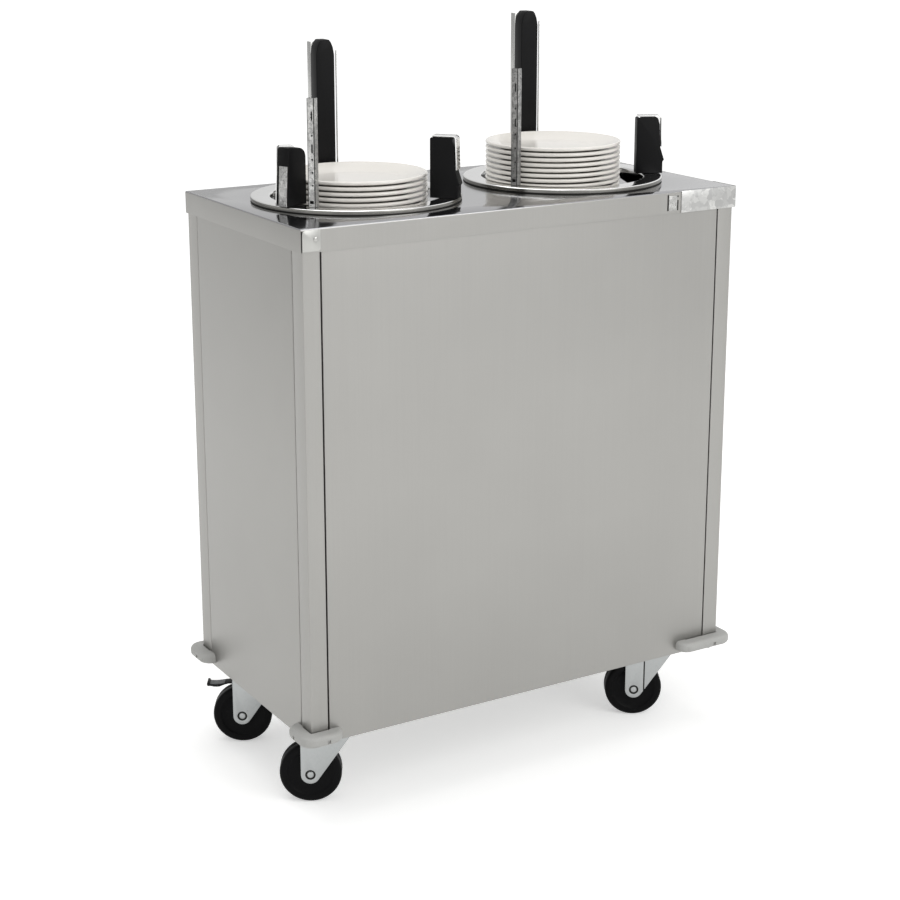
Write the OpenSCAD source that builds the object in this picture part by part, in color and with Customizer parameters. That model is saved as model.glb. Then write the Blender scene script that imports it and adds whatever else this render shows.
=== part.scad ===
// Plate dispenser cart: a folded steel cabinet on four swivel castors, with two round wells.
// In each well a sprung platform lifts a stack of plates between upright guides.
// Millimetres, Z up. The origin is on the floor under the middle of the cart, X runs along
// the long front and the front face looks towards -Y.

/* [Cabinet] */
// Length of the lid
lid_w = 814; // [800:2:860]
// Depth of the lid
lid_d = 424; // [418:2:460]
// Height of the lid above the floor
cart_h = 967; // [950:1:1000]
// Height of the folded lid edge
apron_h = 36; // [30:1:48]
// Thickness of the lid sheet
lid_t = 2; // [1.5:0.1:2.4]
// How far the lid stands out past the walls
overhang = 3; // [2.6:0.1:5]
// Width of a corner post on the long faces
post_w = 30; // [24:1:40]
// Width of a corner post on the short faces
post_side_w = 34; // [26:1:44]
// Thickness of the corner posts
post_t = 2; // [1.5:0.1:2.5]
// Thickness of the wall panels
panel_t = 1.5; // [1:0.1:2]
// Depth of the folded panel edges
pan_depth = 10; // [8:0.5:12]
// Width of the shadow groove between post and panel
groove = 2; // [1:0.1:3]
// Thickness of the base tray
tray_t = 2; // [1.5:0.1:3]
// Height of the base tray's upturned edge
tray_h = 28; // [20:1:40]

/* [Castors] */
// Height of a castor, from the floor to the base tray
castor_h = 142; // [141:1:150]
// Radius of the wheels
wheel_r = 51; // [48:0.5:52]
// Width of the wheels
wheel_w = 32; // [28:1:33]
// Distance from the swivel axis to the wheel's axle
trail = 37; // [33:1:40]
// Distance from the lid's edges to a swivel axis
castor_inset = 81; // [76:1:95]
// Direction in which the wheels trail, in degrees from X
castor_turn = 150; // [0:5:355]
// Radius of the wheel axles
axle_r = 5; // [4:0.5:6]
// How far a pressed brake pedal turns, in degrees
pedal_press = 12; // [6:1:12]

/* [Bumpers] */
// How far a corner bumper stands out from the walls
bumper_out = 22; // [18:1:30]
// Height of a corner bumper
bumper_h = 18; // [15:1:24]
// Height of the bumpers above the bottom of the cabinet
bumper_lift = 5; // [3:1:12]
// Length of a bumper's long arm
bumper_long = 90; // [70:1:110]
// Length of a bumper's short arm
bumper_short = 52; // [50:1:66]

/* [Wells] */
// Distance between the two wells
well_pitch = 400; // [390:2:406]
// Inner radius of a well
well_r = 138; // [132:1:140]
// Outer radius of the ring on the lid
ring_r = 170; // [168:1:176]
// Height of the ring above the lid
ring_h = 8; // [4:0.5:9]
// Thickness of the ring and the well's tube
tube_t = 1.5; // [1.2:0.1:2]
// Length of the well's tube below the lid
tube_depth = 560; // [530:5:580]
// Depth of the ring's collar below the lid
collar_h = 25; // [22:1:30]

/* [Lift] */
// How far the plate stack's foot rests below the lid
stack_drop = 72.6; // [66:0.1:80]
// Radius of the platform
platform_r = 110; // [100:1:114]
// Length of the column under the platform
column_h = 190; // [185:1:210]
// Radius of the circle on which the guide rods stand
rod_circle_r = 160; // [158:1:163]
// Radius of the guide rods
rod_r = 5; // [4:0.5:6]
// Outer radius of the lift springs
spring_r = 8; // [6:0.5:9]

/* [Plates] */
// Radius of a plate
plate_r = 115; // [108:1:116]
// Thickness of a plate's rim
rim_t = 6; // [5:0.1:6.4]
// Height of a plate's foot ring
foot_h = 3.4; // [3:0.1:4]
// Thickness of a plate's middle
base_t = 5.2; // [4.6:0.1:5.6]
// Plates in the left stack
left_count = 12; // [8:1:13]
// Plates in the right stack
right_count = 15; // [8:1:16]

/* [Guides] */
// Height of the left tall guide above the lid
left_tall_h = 243; // [200:1:280]
// Height of the right tall guide above the lid
right_tall_h = 276; // [200:1:300]
// Height of the left rail above the lid
left_rail_h = 175; // [150:1:200]
// Height of the right rail above the lid
right_rail_h = 199; // [150:1:220]
// Height of the short guides above the lid
short_h = 104; // [90:1:120]
// Width of a tall guide's pad
tall_w = 32; // [28:1:40]
// Width of a short guide's pad
short_w = 20; // [16:1:32]
// Depth of a short guide's pad
short_deep = 41; // [36:1:42]

/* [Hidden] */

$fn = 72;
// Overrun of every cut past the face it goes through
over = 1;
// Radial gap of a shaft in its hole
fit = 0.05;
// Gap between flat faces of pieces that move on each other
slide_gap = 0.3;

// Colours
steel = [0.72, 0.72, 0.71];
dark_steel = [0.55, 0.56, 0.57];
zinc = [0.76, 0.78, 0.79];
bumper_grey = [0.78, 0.78, 0.76];
black = [0.06, 0.06, 0.065];
china = [0.93, 0.92, 0.89];

// Cabinet places
body_x = lid_w / 2 - overhang;
body_y = lid_d / 2 - overhang;
lid_under = cart_h - lid_t;
// Width of the post lips behind the panels
lip_w = 18;
// Gap between a panel's top edge and the lid
panel_gap = 4;
tray_x = body_x - pan_depth - post_t;
tray_y = body_y - pan_depth - post_t;

// Lid corner fittings
flap_w = 30;
flap_t = 1.5;
flap_margin = 2;
flap_round = 5;
rivet_r = 4.2;
rivet_t = 1.6;
rivet_in = 22;
cover_w = 114;
cover_side_w = 60;
cover_t = 1.2;
catch_slot_w = 3;
catch_slot_gap = 20;
catch_in = 141;
catch_long_h = 27;
catch_short_h = 17;
catch_base = 5;

// Castor places: the swivel axes lie at the same inset on all four corners
castor_x = lid_w / 2 - castor_inset;
castor_y = lid_d / 2 - castor_inset;
plate_x = 100;
plate_y = 85;
mount_t = 3.5;
bolt_x = 80;
bolt_y = 60;
bolt_r = 4;
bolt_head_r = 6.5;
bolt_head_t = 5;
nut_t = 6;
nut_gap = 0.4;
race_r = 27;
race_h = 6;
race_gap = 1;
king_r = 7;
king_head_r = 10;
king_head_t = 3;
crown_t = 3;
crown_drop = 24;
crown_back = 28;
leg_t = 3;
leg_r = 15.5;
leg_gap = 2.5;
leg_turn = 214;
axle_head_lip = 0.8;
axle_head_t = 2.2;
axle_head_r = axle_r + axle_head_lip;
axle_seat_r = 8.6;
axle_seat_t = 2;
hub_r = 14;
hub_gap = 1;
tread_round = 6;
dish_r = 38;
dish_in_r = 17;
dish_t = 3;
leg_y = wheel_w / 2 + leg_gap;
crown_z = castor_h - crown_drop;
head_top = castor_h - mount_t - race_h - race_gap;

// Brake pedal, in the castor's own frame: X trails, Z up
pivot_x = 20;
pivot_drop = 10;
pivot_r = 3;
pedal_hub_r = 4.5;
pedal_w = 20;
pedal_tip_w = 22;
pedal_reach = 98;
pedal_tip_l = 5;
pedal_t = 3;
pedal_thin = 0.6;
pedal_foot_l = 38;
pedal_belly_l = 22;
pedal_toe_l = 12;
pedal_belly = 6.6;
pedal_scoop = 1.5;
pedal_bead_low = 5;
pedal_bead_top = 1.5;
pedal_z = crown_z - pivot_drop;

// Bumper section
bumper_round = 7;
bumper_z = castor_h + bumper_lift;
hole_w = 6;
hole_deep = 6;
hole_near = 20;
hole_far = 42;
screw_r = 5;
screw_t = 2.5;
screw_place = 9;

// Wells
hole_gap = 12;
rim_w = 3;
ring_t = 2;
well_x = well_pitch / 2;
tube_r = well_r + tube_t;
slot_drop = 215;
slot_w = 20;
arm_turns = [90, 210, 330];

// Lift frame: two rings joined by the rods
frame_ring_t = 3;
frame_drop = 34;
frame_ring_w = 15;
frame_top = cart_h - frame_drop - frame_ring_t;
frame_low = castor_h + tray_t;
frame_low_top = frame_low + frame_ring_t;

// Platform and spider
stack_z = cart_h - stack_drop;
platform_t = 3;
platform_lip = 10;
platform_z = stack_z - slide_gap - platform_t;
column_r = 20;
arm_w = 12;
arm_t = 8;
eye_r = 13;
bush_r = 8;
bush_over = 3;
spring_off = 28;
spring_t = 2.5;
spring_pad_r = 10;
arm_top = platform_z - column_h;

// Plates: the pitch in a stack is the foot's height, the middle's thickness and a hair's gap
glaze_gap = 0.05;
plate_pitch = foot_h + base_t + glaze_gap;
middle_z = foot_h + base_t;
plate_h = 21;
foot_r = 70;
foot_w = 6;
well_edge = 8;
stack_gap = 3;
right_shift = well_r - plate_r - stack_gap;

// Guides stand on the ring's flat
flat_z = cart_h + ring_h + slide_gap;
tall_turn = 85;
left_rail_turn = -145;
right_rail_turn = -156;
left_short_turn = -48;
right_short_turn = -24;
left_side_turn = -160;
tall_gap = 7;
tall_deep = 26;
channel_deep = 14;
channel_t = 1.5;
tall_shoulder = 24;
tall_shoulder_w = 9;
bow_r = 1.3;
bow_gap = 3.2;
bow_in = 4;
bow_drop = 18;
short_gap = 12;
pad_in = plate_r + short_gap;
pad_out = pad_in + short_deep;
pad_h = short_h - ring_h - slide_gap;
pad_slope = 4.5;
pad_lean = 1.5;
pad_chamfer_h = 12;
pad_round = 3;
clamp_out = 7.5;
clamp_foot = 5;
clamp_lip_z = 23;
clamp_step = 3.5;
clamp_top = 45;
side_more = 3;
side_lean = 5;
side_drop = 5;
side_shoulder = 15;
side_fall = 2;
side_out = pad_out + side_more;
strap_t = 1.5;
strap_gap = 2;
strap_land = 8;
knob_r = 7;
knob_t = 4;
knob_up = 19;
knob_neck_r = 2.5;
knob_neck = 5;
side_strip_h = 62;
side_strip_lip = 2.5;
side_edge = 3.5;
rail_r = 141;
rail_w = 13;
rail_deep = 11;
rail_t = 1.5;
rail_hole_r = 1.6;
rail_hole_y = 2;
rail_slot_h = 14;
rail_slot_w = 2.5;
rail_foot_z = 5;
rail_foot_h = 5;
// Heights of the rail's holes and slots as shares of its own height
rail_hole_shares = [0.2, 0.32, 0.44, 0.66];
rail_slot_shares = [0.54, 0.84];

// Places the children of a castor: its frame has the swivel axis at the origin and trails in X
module at_castor(sx, sy) {
    translate([sx * castor_x, sy * castor_y, 0]) rotate(castor_turn) children();
}

// Places the children of a guide: X points out from the well's middle
module at_guide(side, turn) {
    translate([side * well_x, 0, flat_z]) rotate(turn) children();
}

module box_at(low, high) {
    translate(low) cube(high - low);
}

// Lid: a folded tray, open below, with two round holes and the two slots of a catch
module lid() {
    color(steel) difference() {
        box_at([-lid_w / 2, -lid_d / 2, cart_h - apron_h], [lid_w / 2, lid_d / 2, cart_h]);
        box_at([lid_t - lid_w / 2, lid_t - lid_d / 2, cart_h - apron_h - over],
               [lid_w / 2 - lid_t, lid_d / 2 - lid_t, lid_under]);
        for (side = [-1, 1])
            translate([side * well_x, 0, lid_under - over])
                cylinder(r = tube_r + hole_gap, h = lid_t + 2 * over);
        catch_slot(lid_w / 2 - catch_in, catch_long_h);
        catch_slot(lid_w / 2 - catch_in + catch_slot_gap, catch_short_h);
    }
}

// One upright slot through the front of the lid edge, with a round top
module catch_slot(x, h) {
    translate([x, 0, cart_h - apron_h + catch_base]) {
        box_at([-catch_slot_w / 2, -lid_d / 2 - over, 0],
               [catch_slot_w / 2, -lid_d / 2 + lid_t + over, h - catch_slot_w / 2]);
        translate([0, -lid_d / 2 + lid_t + over, h - catch_slot_w / 2])
            rotate([90, 0, 0]) cylinder(r = catch_slot_w / 2, h = lid_t + 2 * over);
    }
}

// Corner cover: an angle of galvanised sheet over the front right corner of the lid edge
module corner_cover() {
    color(zinc) difference() {
        box_at([lid_w / 2 - cover_w, -lid_d / 2 - cover_t, cart_h - apron_h],
               [lid_w / 2 + cover_t, -lid_d / 2 + cover_side_w, cart_h]);
        box_at([lid_w / 2 - cover_w - over, -lid_d / 2, cart_h - apron_h - over],
               [lid_w / 2, -lid_d / 2 + cover_side_w + over, cart_h + over]);
    }
}

// The outline of a lap at a corner of the lid edge, with one round upper corner
module flap_outline() {
    flap_h = apron_h - 2 * flap_margin;
    difference() {
        square([flap_w, flap_h]);
        translate([0, flap_h - flap_round]) square(flap_round);
    }
    translate([flap_round, flap_h - flap_round]) circle(r = flap_round);
}

// Places a lap, or its rivet, on the long faces of the lid edge at the three plain corners
module at_flaps() {
    for (corner = [[-1, -1], [-1, 1], [1, 1]])
        translate([corner[0] * (lid_w / 2 - flap_margin), corner[1] * lid_d / 2,
                   cart_h - apron_h + flap_margin])
            mirror([corner[0] > 0 ? 1 : 0, 0, 0]) mirror([0, corner[1] > 0 ? 1 : 0, 0]) children();
}

module corner_flaps() {
    color(steel) at_flaps() rotate([90, 0, 0]) linear_extrude(flap_t) flap_outline();
}

module lid_rivets() {
    color(zinc) at_flaps() translate([rivet_in, -flap_t, apron_h / 2])
        rotate([90, 0, 0]) cylinder(r = rivet_r, h = rivet_t);
}

// Corner post: two face strips, each folded in behind the groove and out behind the panel
module post_section() {
    square([post_w, post_t]);
    square([post_t, post_side_w]);
    translate([post_w - post_t, 0]) square([post_t, pan_depth + post_t]);
    translate([0, post_side_w - post_t]) square([pan_depth + post_t, post_t]);
    translate([post_w - post_t, pan_depth]) square([lip_w, post_t]);
    translate([pan_depth, post_side_w - post_t]) square([post_t, lip_w]);
}

module post(sx, sy) {
    color(steel) translate([sx * body_x, sy * body_y, castor_h])
        mirror([sx > 0 ? 1 : 0, 0, 0]) mirror([0, sy > 0 ? 1 : 0, 0])
            linear_extrude(lid_under - castor_h) post_section();
}

// Wall panel: a shallow pan, its open side turned in to the post lips
module panel(w) {
    h = lid_under - panel_gap - castor_h;
    color(steel) translate([-w / 2, 0, castor_h]) difference() {
        cube([w, pan_depth, h]);
        box_at([panel_t, panel_t, panel_t], [w - panel_t, pan_depth + over, h - panel_t]);
    }
}

module long_panel(side) {
    mirror([0, side > 0 ? 1 : 0, 0]) translate([0, -body_y, 0])
        panel(2 * (body_x - post_w - groove));
}

module short_panel(side) {
    mirror([side > 0 ? 1 : 0, 0, 0]) translate([-body_x, 0, 0]) rotate(-90)
        panel(2 * (body_y - post_side_w - groove));
}

// Base tray: the cabinet's floor, with an upturned edge fixed to the post lips
module base_tray() {
    color(dark_steel) difference() {
        box_at([-tray_x, -tray_y, castor_h], [tray_x, tray_y, castor_h + tray_h]);
        box_at([tray_t - tray_x, tray_t - tray_y, castor_h + tray_t],
               [tray_x - tray_t, tray_y - tray_t, castor_h + tray_h + over]);
        at_bolts() translate([0, 0, -over]) cylinder(r = bolt_r + fit, h = tray_t + 2 * over);
    }
}

// Places something at the top of each castor bolt's place, under the tray
module at_bolts() {
    for (sx = [-1, 1], sy = [-1, 1], bx = [-1, 1], by = [-1, 1])
        translate([sx * castor_x + bx * bolt_x / 2, sy * castor_y + by * bolt_y / 2, castor_h])
            children();
}

// Castor plates: bolted under the tray, each with its upper race and the king pin
module castor_plates() {
    color(zinc) for (sx = [-1, 1], sy = [-1, 1]) difference() {
        translate([sx * castor_x, sy * castor_y, 0]) {
            box_at([-plate_x / 2, -plate_y / 2, castor_h - mount_t],
                   [plate_x / 2, plate_y / 2, castor_h]);
            translate([0, 0, castor_h - mount_t - race_h]) cylinder(r = race_r, h = race_h);
            translate([0, 0, crown_z - slide_gap]) cylinder(r = king_r, h = castor_h - mount_t - crown_z);
            translate([0, 0, crown_z - slide_gap - king_head_t])
                cylinder(r = king_head_r, h = king_head_t);
        }
        at_bolts() translate([0, 0, -mount_t - over])
            cylinder(r = bolt_r + fit, h = mount_t + 2 * over);
    }
}

module castor_bolts() {
    color(zinc) at_bolts() {
        translate([0, 0, -mount_t]) cylinder(r = bolt_r, h = mount_t + tray_t);
        translate([0, 0, -mount_t - bolt_head_t]) cylinder(r = bolt_head_r, h = bolt_head_t, $fn = 6);
        translate([0, 0, tray_t]) cylinder(r = bolt_head_r, h = nut_t, $fn = 6);
    }
}

// Corner bumper section: X stands out from the wall
module bumper_section() {
    square([bumper_out - bumper_round, bumper_h]);
    translate([0, bumper_round]) square([bumper_out, bumper_h - 2 * bumper_round]);
    for (z = [bumper_round, bumper_h - bumper_round])
        translate([bumper_out - bumper_round, z]) circle(r = bumper_round);
}

// One arm of a bumper along X, with a quarter-round end
module bumper_arm(l) {
    mirror([0, 1, 0]) {
        rotate([90, 0, 90]) linear_extrude(l - bumper_out) bumper_section();
        translate([l - bumper_out, 0, 0]) rotate_extrude(angle = 90) bumper_section();
    }
}

// Bumper of a front left corner, with two square recesses in each arm
module bumper(x_arm, y_arm) {
    difference() {
        union() {
            rotate(180) rotate_extrude(angle = 90) bumper_section();
            bumper_arm(x_arm);
            mirror([1, -1, 0]) bumper_arm(y_arm);
        }
        for (d = [hole_near, x_arm - (bumper_short - hole_far)]) bumper_hole(d);
        for (d = [hole_near, y_arm - (bumper_short - hole_far)]) mirror([1, -1, 0]) bumper_hole(d);
    }
}

module bumper_hole(d) {
    box_at([d - hole_w / 2, -bumper_out - over, bumper_round - hole_w / 2],
           [d + hole_w / 2, hole_deep - bumper_out, bumper_round + hole_w / 2]);
}

// Places the children at each corner of the cabinet, turned as on the front left corner
module at_corner(sx, sy) {
    translate([sx * body_x, sy * body_y, bumper_z])
        mirror([sx > 0 ? 1 : 0, 0, 0]) mirror([0, sy > 0 ? 1 : 0, 0]) children();
}

module corner_bumpers() {
    color(bumper_grey) for (sx = [-1, 1], sy = [-1, 1])
        at_corner(sx, sy) bumper(sx * sy < 0 ? bumper_long : bumper_short, bumper_short);
}

module bumper_screws() {
    color(zinc) for (sx = [-1, 1], sy = [-1, 1]) at_corner(sx, sy)
        for (place = [[bumper_short / 2, -screw_place], [-screw_place, bumper_short / 2]])
            translate([place[0], place[1], -screw_t]) cylinder(r = screw_r, h = screw_t);
}

// Castor fork: the crown under the bearing head and two tapered legs with axle seats
module leg_outline() {
    translate([trail, wheel_r]) circle(r = leg_r);
    polygon([[trail + leg_r, wheel_r], [trail + leg_r, crown_z + crown_t],
             [-crown_back, crown_z + crown_t], [-crown_back, crown_z],
             [trail + leg_r * cos(leg_turn), wheel_r + leg_r * sin(leg_turn)]]);
}

module fork(sx, sy) {
    color(zinc) at_castor(sx, sy) difference() {
        union() {
            for (y = [-leg_y - leg_t, leg_y])
                translate([0, y + leg_t, 0]) rotate([90, 0, 0]) linear_extrude(leg_t) leg_outline();
            box_at([-crown_back, -leg_y - leg_t, crown_z],
                   [trail + leg_r, leg_y + leg_t, crown_z + crown_t]);
            translate([0, 0, crown_z]) cylinder(r = race_r, h = head_top - crown_z);
        }
        translate([0, 0, crown_z - over]) cylinder(r = king_r + fit, h = head_top - crown_z + 2 * over);
        translate([trail, leg_y + leg_t + over, wheel_r]) rotate([90, 0, 0])
            cylinder(r = axle_r + fit, h = 2 * (leg_y + leg_t + over));
        for (y = [-leg_y - leg_t - over, leg_y + leg_t - axle_seat_t])
            translate([trail, y + axle_seat_t + over, wheel_r]) rotate([90, 0, 0])
                cylinder(r = axle_seat_r, h = axle_seat_t + over);
        translate([pivot_x, leg_y + leg_t + over, pedal_z]) rotate([90, 0, 0])
            cylinder(r = pivot_r + fit, h = 2 * (leg_y + leg_t + over));
    }
}

// Wheel axle: a pin with a low head at both ends
module axle(sx, sy) {
    seat = leg_y + leg_t - axle_seat_t;
    color(zinc) at_castor(sx, sy) translate([trail, 0, wheel_r]) rotate([90, 0, 0]) {
        translate([0, 0, -seat]) cylinder(r = axle_r, h = 2 * seat);
        for (z = [-seat - axle_head_t, seat]) translate([0, 0, z])
            cylinder(r = axle_head_r, h = axle_head_t);
    }
}

// Wheel: one solid moulding with a rounded tread, dished sides and a bored hub
module wheel_section() {
    difference() {
        union() {
            translate([axle_r + fit, -wheel_w / 2]) square([wheel_r - tread_round - axle_r - fit, wheel_w]);
            translate([axle_r + fit, tread_round - wheel_w / 2])
                square([wheel_r - axle_r - fit, wheel_w - 2 * tread_round]);
            for (side = [-1, 1]) translate([wheel_r - tread_round, side * (wheel_w / 2 - tread_round)])
                circle(r = tread_round);
            translate([axle_r + fit, hub_gap - leg_y]) square([hub_r - axle_r - fit, 2 * (leg_y - hub_gap)]);
        }
        for (low = [-wheel_w / 2 - over, wheel_w / 2 - dish_t]) translate([dish_in_r, low])
            square([dish_r - dish_in_r, dish_t + over]);
    }
}

module wheel(sx, sy) {
    color(black) at_castor(sx, sy) translate([trail, 0, wheel_r])
        rotate([90, 0, 0]) rotate_extrude() wheel_section();
}

// Brake pedal: a lever between the fork's legs, on its own pivot, with a deep scooped foot and a bead
module pedal(sx, sy, press) {
    color(dark_steel) at_castor(sx, sy) translate([pivot_x, 0, pedal_z]) rotate([0, press, 0]) {
        reach = pedal_reach - pivot_x;
        rotate([90, 0, 0]) translate([0, 0, -pedal_w / 2]) {
            cylinder(r = pedal_hub_r, h = pedal_w);
            linear_extrude(pedal_w) polygon([[0, -pedal_t / 2], [reach - pedal_foot_l, -pedal_thin],
                [reach - pedal_belly_l, -pedal_belly], [reach - pedal_toe_l, -pedal_belly],
                [reach - pedal_tip_l, -pedal_bead_low], [reach - pedal_tip_l, -pedal_scoop],
                [reach - pedal_belly_l, -pedal_scoop], [reach - pedal_foot_l, pedal_thin],
                [0, pedal_t / 2]]);
        }
        rotate([90, 0, 0]) translate([0, 0, -pedal_tip_w / 2]) linear_extrude(pedal_tip_w)
            polygon([[reach - pedal_tip_l, -pedal_bead_low], [reach, pedal_thin - pedal_bead_low],
                     [reach, pedal_bead_top - pedal_thin], [reach - pedal_tip_l / 2, pedal_bead_top],
                     [reach - pedal_tip_l, -pedal_scoop]]);
        rotate([90, 0, 0]) translate([0, 0, -leg_y - leg_t])
            cylinder(r = pivot_r, h = 2 * (leg_y + leg_t));
    }
}

// Ring: a pressed flange on the lid, rolled down into the well's collar
module ring(side) {
    color(steel) translate([side * well_x, 0, cart_h]) rotate_extrude() polygon([
        [well_r, -collar_h], [well_r, ring_h - 2 * ring_t], [well_r + ring_t / 2, ring_h - ring_t / 2],
        [well_r + 2 * ring_t, ring_h], [ring_r - rim_w, ring_h], [ring_r - rim_w / 3, ring_h - ring_t / 2],
        [ring_r, ring_h - 2 * ring_t], [ring_r, 0], [ring_r - ring_t, 0],
        [ring_r - ring_t - rim_w / 3, ring_h - ring_t], [well_r + 2 * ring_t, ring_h - ring_t],
        [tube_r, ring_h - 2 * ring_t], [tube_r, -collar_h]
    ]);
}

// Well tube: hangs from the ring's collar, with three slots, open below, for the spider's arms
module well_tube(side) {
    low = cart_h - tube_depth;
    top = cart_h - collar_h;
    color(steel) translate([side * well_x, 0, 0]) difference() {
        translate([0, 0, low]) cylinder(r = tube_r, h = top - low);
        translate([0, 0, low - over]) cylinder(r = well_r, h = top - low + 2 * over);
        for (turn = arm_turns) rotate(turn)
            box_at([platform_r, -slot_w / 2, low - over], [tube_r + over, slot_w / 2, cart_h - slot_drop]);
    }
}

// Guide rods: three to a well, standing between the frame rings
module guide_rods() {
    color(zinc) for (side = [-1, 1], turn = arm_turns)
        translate([side * well_x, 0, frame_low_top]) rotate(turn)
            translate([rod_circle_r, 0, 0]) cylinder(r = rod_r, h = frame_top - frame_low_top);
}

// Frame rings: one round the tube's top and one on the base tray, cut clear of the castors' nuts
module frame_rings() {
    color(dark_steel) for (side = [-1, 1], z = [frame_low, frame_top])
        translate([side * well_x, 0, z]) difference() {
            cylinder(r = rod_circle_r + frame_ring_w, h = frame_ring_t);
            translate([0, 0, -over]) cylinder(r = tube_r + slide_gap, h = frame_ring_t + 2 * over);
            translate([-side * well_x, 0, -z]) at_bolts()
                cylinder(r = bolt_head_r + nut_gap, h = tray_t + 2 * nut_t);
        }
}

// Lift springs: extension springs from the upper frame ring to the spider, as plain sleeves
module springs(side) {
    color(zinc) for (turn = arm_turns) translate([side * well_x, 0, arm_top]) rotate(turn)
        translate([rod_circle_r, spring_off, 0]) difference() {
            cylinder(r = spring_r, h = frame_top - arm_top);
            translate([0, 0, -over]) cylinder(r = spring_r - spring_t, h = frame_top - arm_top + 2 * over);
        }
}

// Platform: the round plate that carries the stack, with a turned-down edge
module platform(side) {
    color(steel) translate([side * well_x, 0, platform_z]) {
        cylinder(r = platform_r, h = platform_t);
        difference() {
            translate([0, 0, -platform_lip]) cylinder(r = platform_r, h = platform_lip);
            translate([0, 0, -platform_lip - over])
                cylinder(r = platform_r - platform_t, h = platform_lip + over);
        }
    }
}

// Spider: a column under the platform and three arms out to the rods and springs
module spider(side) {
    color(dark_steel) translate([side * well_x, 0, arm_top]) difference() {
        union() {
            translate([0, 0, -arm_t]) cylinder(r = column_r, h = platform_z - arm_top + arm_t);
            for (turn = arm_turns) rotate(turn) {
                box_at([0, -arm_w / 2, -arm_t], [rod_circle_r, arm_w / 2, 0]);
                translate([rod_circle_r, 0, -arm_t]) cylinder(r = eye_r, h = arm_t);
                box_at([rod_circle_r - arm_w / 2, 0, -arm_t], [rod_circle_r + arm_w / 2, spring_off, 0]);
                translate([rod_circle_r, spring_off, -arm_t]) cylinder(r = spring_pad_r, h = arm_t);
            }
        }
        for (turn = arm_turns) rotate(turn) translate([rod_circle_r, 0, -arm_t - over])
            cylinder(r = bush_r + fit, h = arm_t + 2 * over);
    }
}

// Bushings: plain sleeves in the spider's eyes, running on the rods
module bushings(side) {
    color(china) for (turn = arm_turns) translate([side * well_x, 0, arm_top - arm_t - bush_over])
        rotate(turn) translate([rod_circle_r, 0, 0]) difference() {
            cylinder(r = bush_r, h = arm_t + 2 * bush_over);
            translate([0, 0, -over]) cylinder(r = rod_r + fit, h = arm_t + 2 * (bush_over + over));
        }
}

// Plate: a coupe section with a foot ring, a flat middle and a thick rounded rim
module plate() {
    rotate_extrude() {
        polygon([[0, foot_h], [foot_r - foot_w, foot_h], [foot_r - foot_w, 0], [foot_r, 0],
                 [foot_r + well_edge, foot_h], [plate_r - rim_t / 2, plate_h - rim_t],
                 [plate_r - rim_t / 2, plate_h], [foot_r + 2 * well_edge, middle_z + foot_h / 2],
                 [foot_r + well_edge, middle_z], [0, middle_z]]);
        translate([plate_r - rim_t / 2, plate_h - rim_t / 2]) circle(r = rim_t / 2);
    }
}

module plates(side, shift, count) {
    color(china) for (i = [0 : count - 1])
        translate([side * well_x - shift, 0, stack_z + i * plate_pitch]) plate();
}

// Tall guide's pad: an upright moulding with sloped shoulders
module tall_guide(side, h) {
    rise = h - ring_h - slide_gap;
    color(black) at_guide(side, tall_turn) translate([plate_r + tall_gap, 0, 0])
        rotate([90, 0, 90]) linear_extrude(tall_deep) polygon([
            [-tall_w / 2, 0], [tall_w / 2, 0], [tall_w / 2, rise - tall_shoulder],
            [tall_w / 2 - tall_shoulder_w / 4, rise - tall_shoulder / 2],
            [tall_w / 2 - tall_shoulder_w, rise], [tall_shoulder_w - tall_w / 2, rise],
            [tall_shoulder_w / 4 - tall_w / 2, rise - tall_shoulder / 2],
            [-tall_w / 2, rise - tall_shoulder]]);
}

// Tall guide's backing: a folded steel channel on the ring, and a thin wire bow beside the pad
module tall_channel(side, h) {
    rise = h - ring_h - slide_gap - tall_shoulder_w / 2;
    back = plate_r + tall_gap + tall_deep;
    bow_x = plate_r + tall_gap + bow_in;
    bow_y = tall_w / 2 + bow_gap + bow_r;
    color(steel) at_guide(side, tall_turn) {
        difference() {
            box_at([back, -tall_w / 2, 0], [back + channel_deep, tall_w / 2, rise]);
            box_at([back + channel_t, channel_t - tall_w / 2, channel_t],
                   [back + channel_deep + over, tall_w / 2 - channel_t, rise + over]);
        }
        translate([bow_x, -bow_y, 0]) cylinder(r = bow_r, h = h - bow_drop - ring_h);
        box_at([bow_x - bow_r, -bow_y - bow_r, 0], [back + channel_deep, channel_t - bow_y, channel_t]);
        box_at([back, -bow_y, 0], [back + channel_deep, channel_t - tall_w / 2, channel_t]);
    }
}

// Rail: a narrow perforated channel, open towards the plates, with a closed foot
module rail(side, turn, h) {
    rise = h - ring_h - slide_gap;
    face = rail_r + rail_deep - rail_t;
    color(zinc) at_guide(side, turn) difference() {
        box_at([rail_r, -rail_w / 2, 0], [rail_r + rail_deep, rail_w / 2, rise]);
        box_at([rail_r - over, rail_t - rail_w / 2, rail_t], [face, rail_w / 2 - rail_t, rise + over]);
        for (share = rail_hole_shares) translate([face - over, rail_hole_y, share * rise])
            rotate([0, 90, 0]) cylinder(r = rail_hole_r, h = rail_t + 2 * over);
        for (share = rail_slot_shares)
            box_at([face - over, rail_hole_y - rail_slot_w / 2, share * rise - rail_slot_h / 2],
                   [face + rail_t + over, rail_hole_y + rail_slot_w / 2, share * rise + rail_slot_h / 2]);
        box_at([face - over, 2 * rail_t - rail_w / 2, rail_foot_z],
               [face + rail_t + over, rail_w / 2 - 2 * rail_t, rail_foot_z + rail_foot_h]);
    }
}

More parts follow.
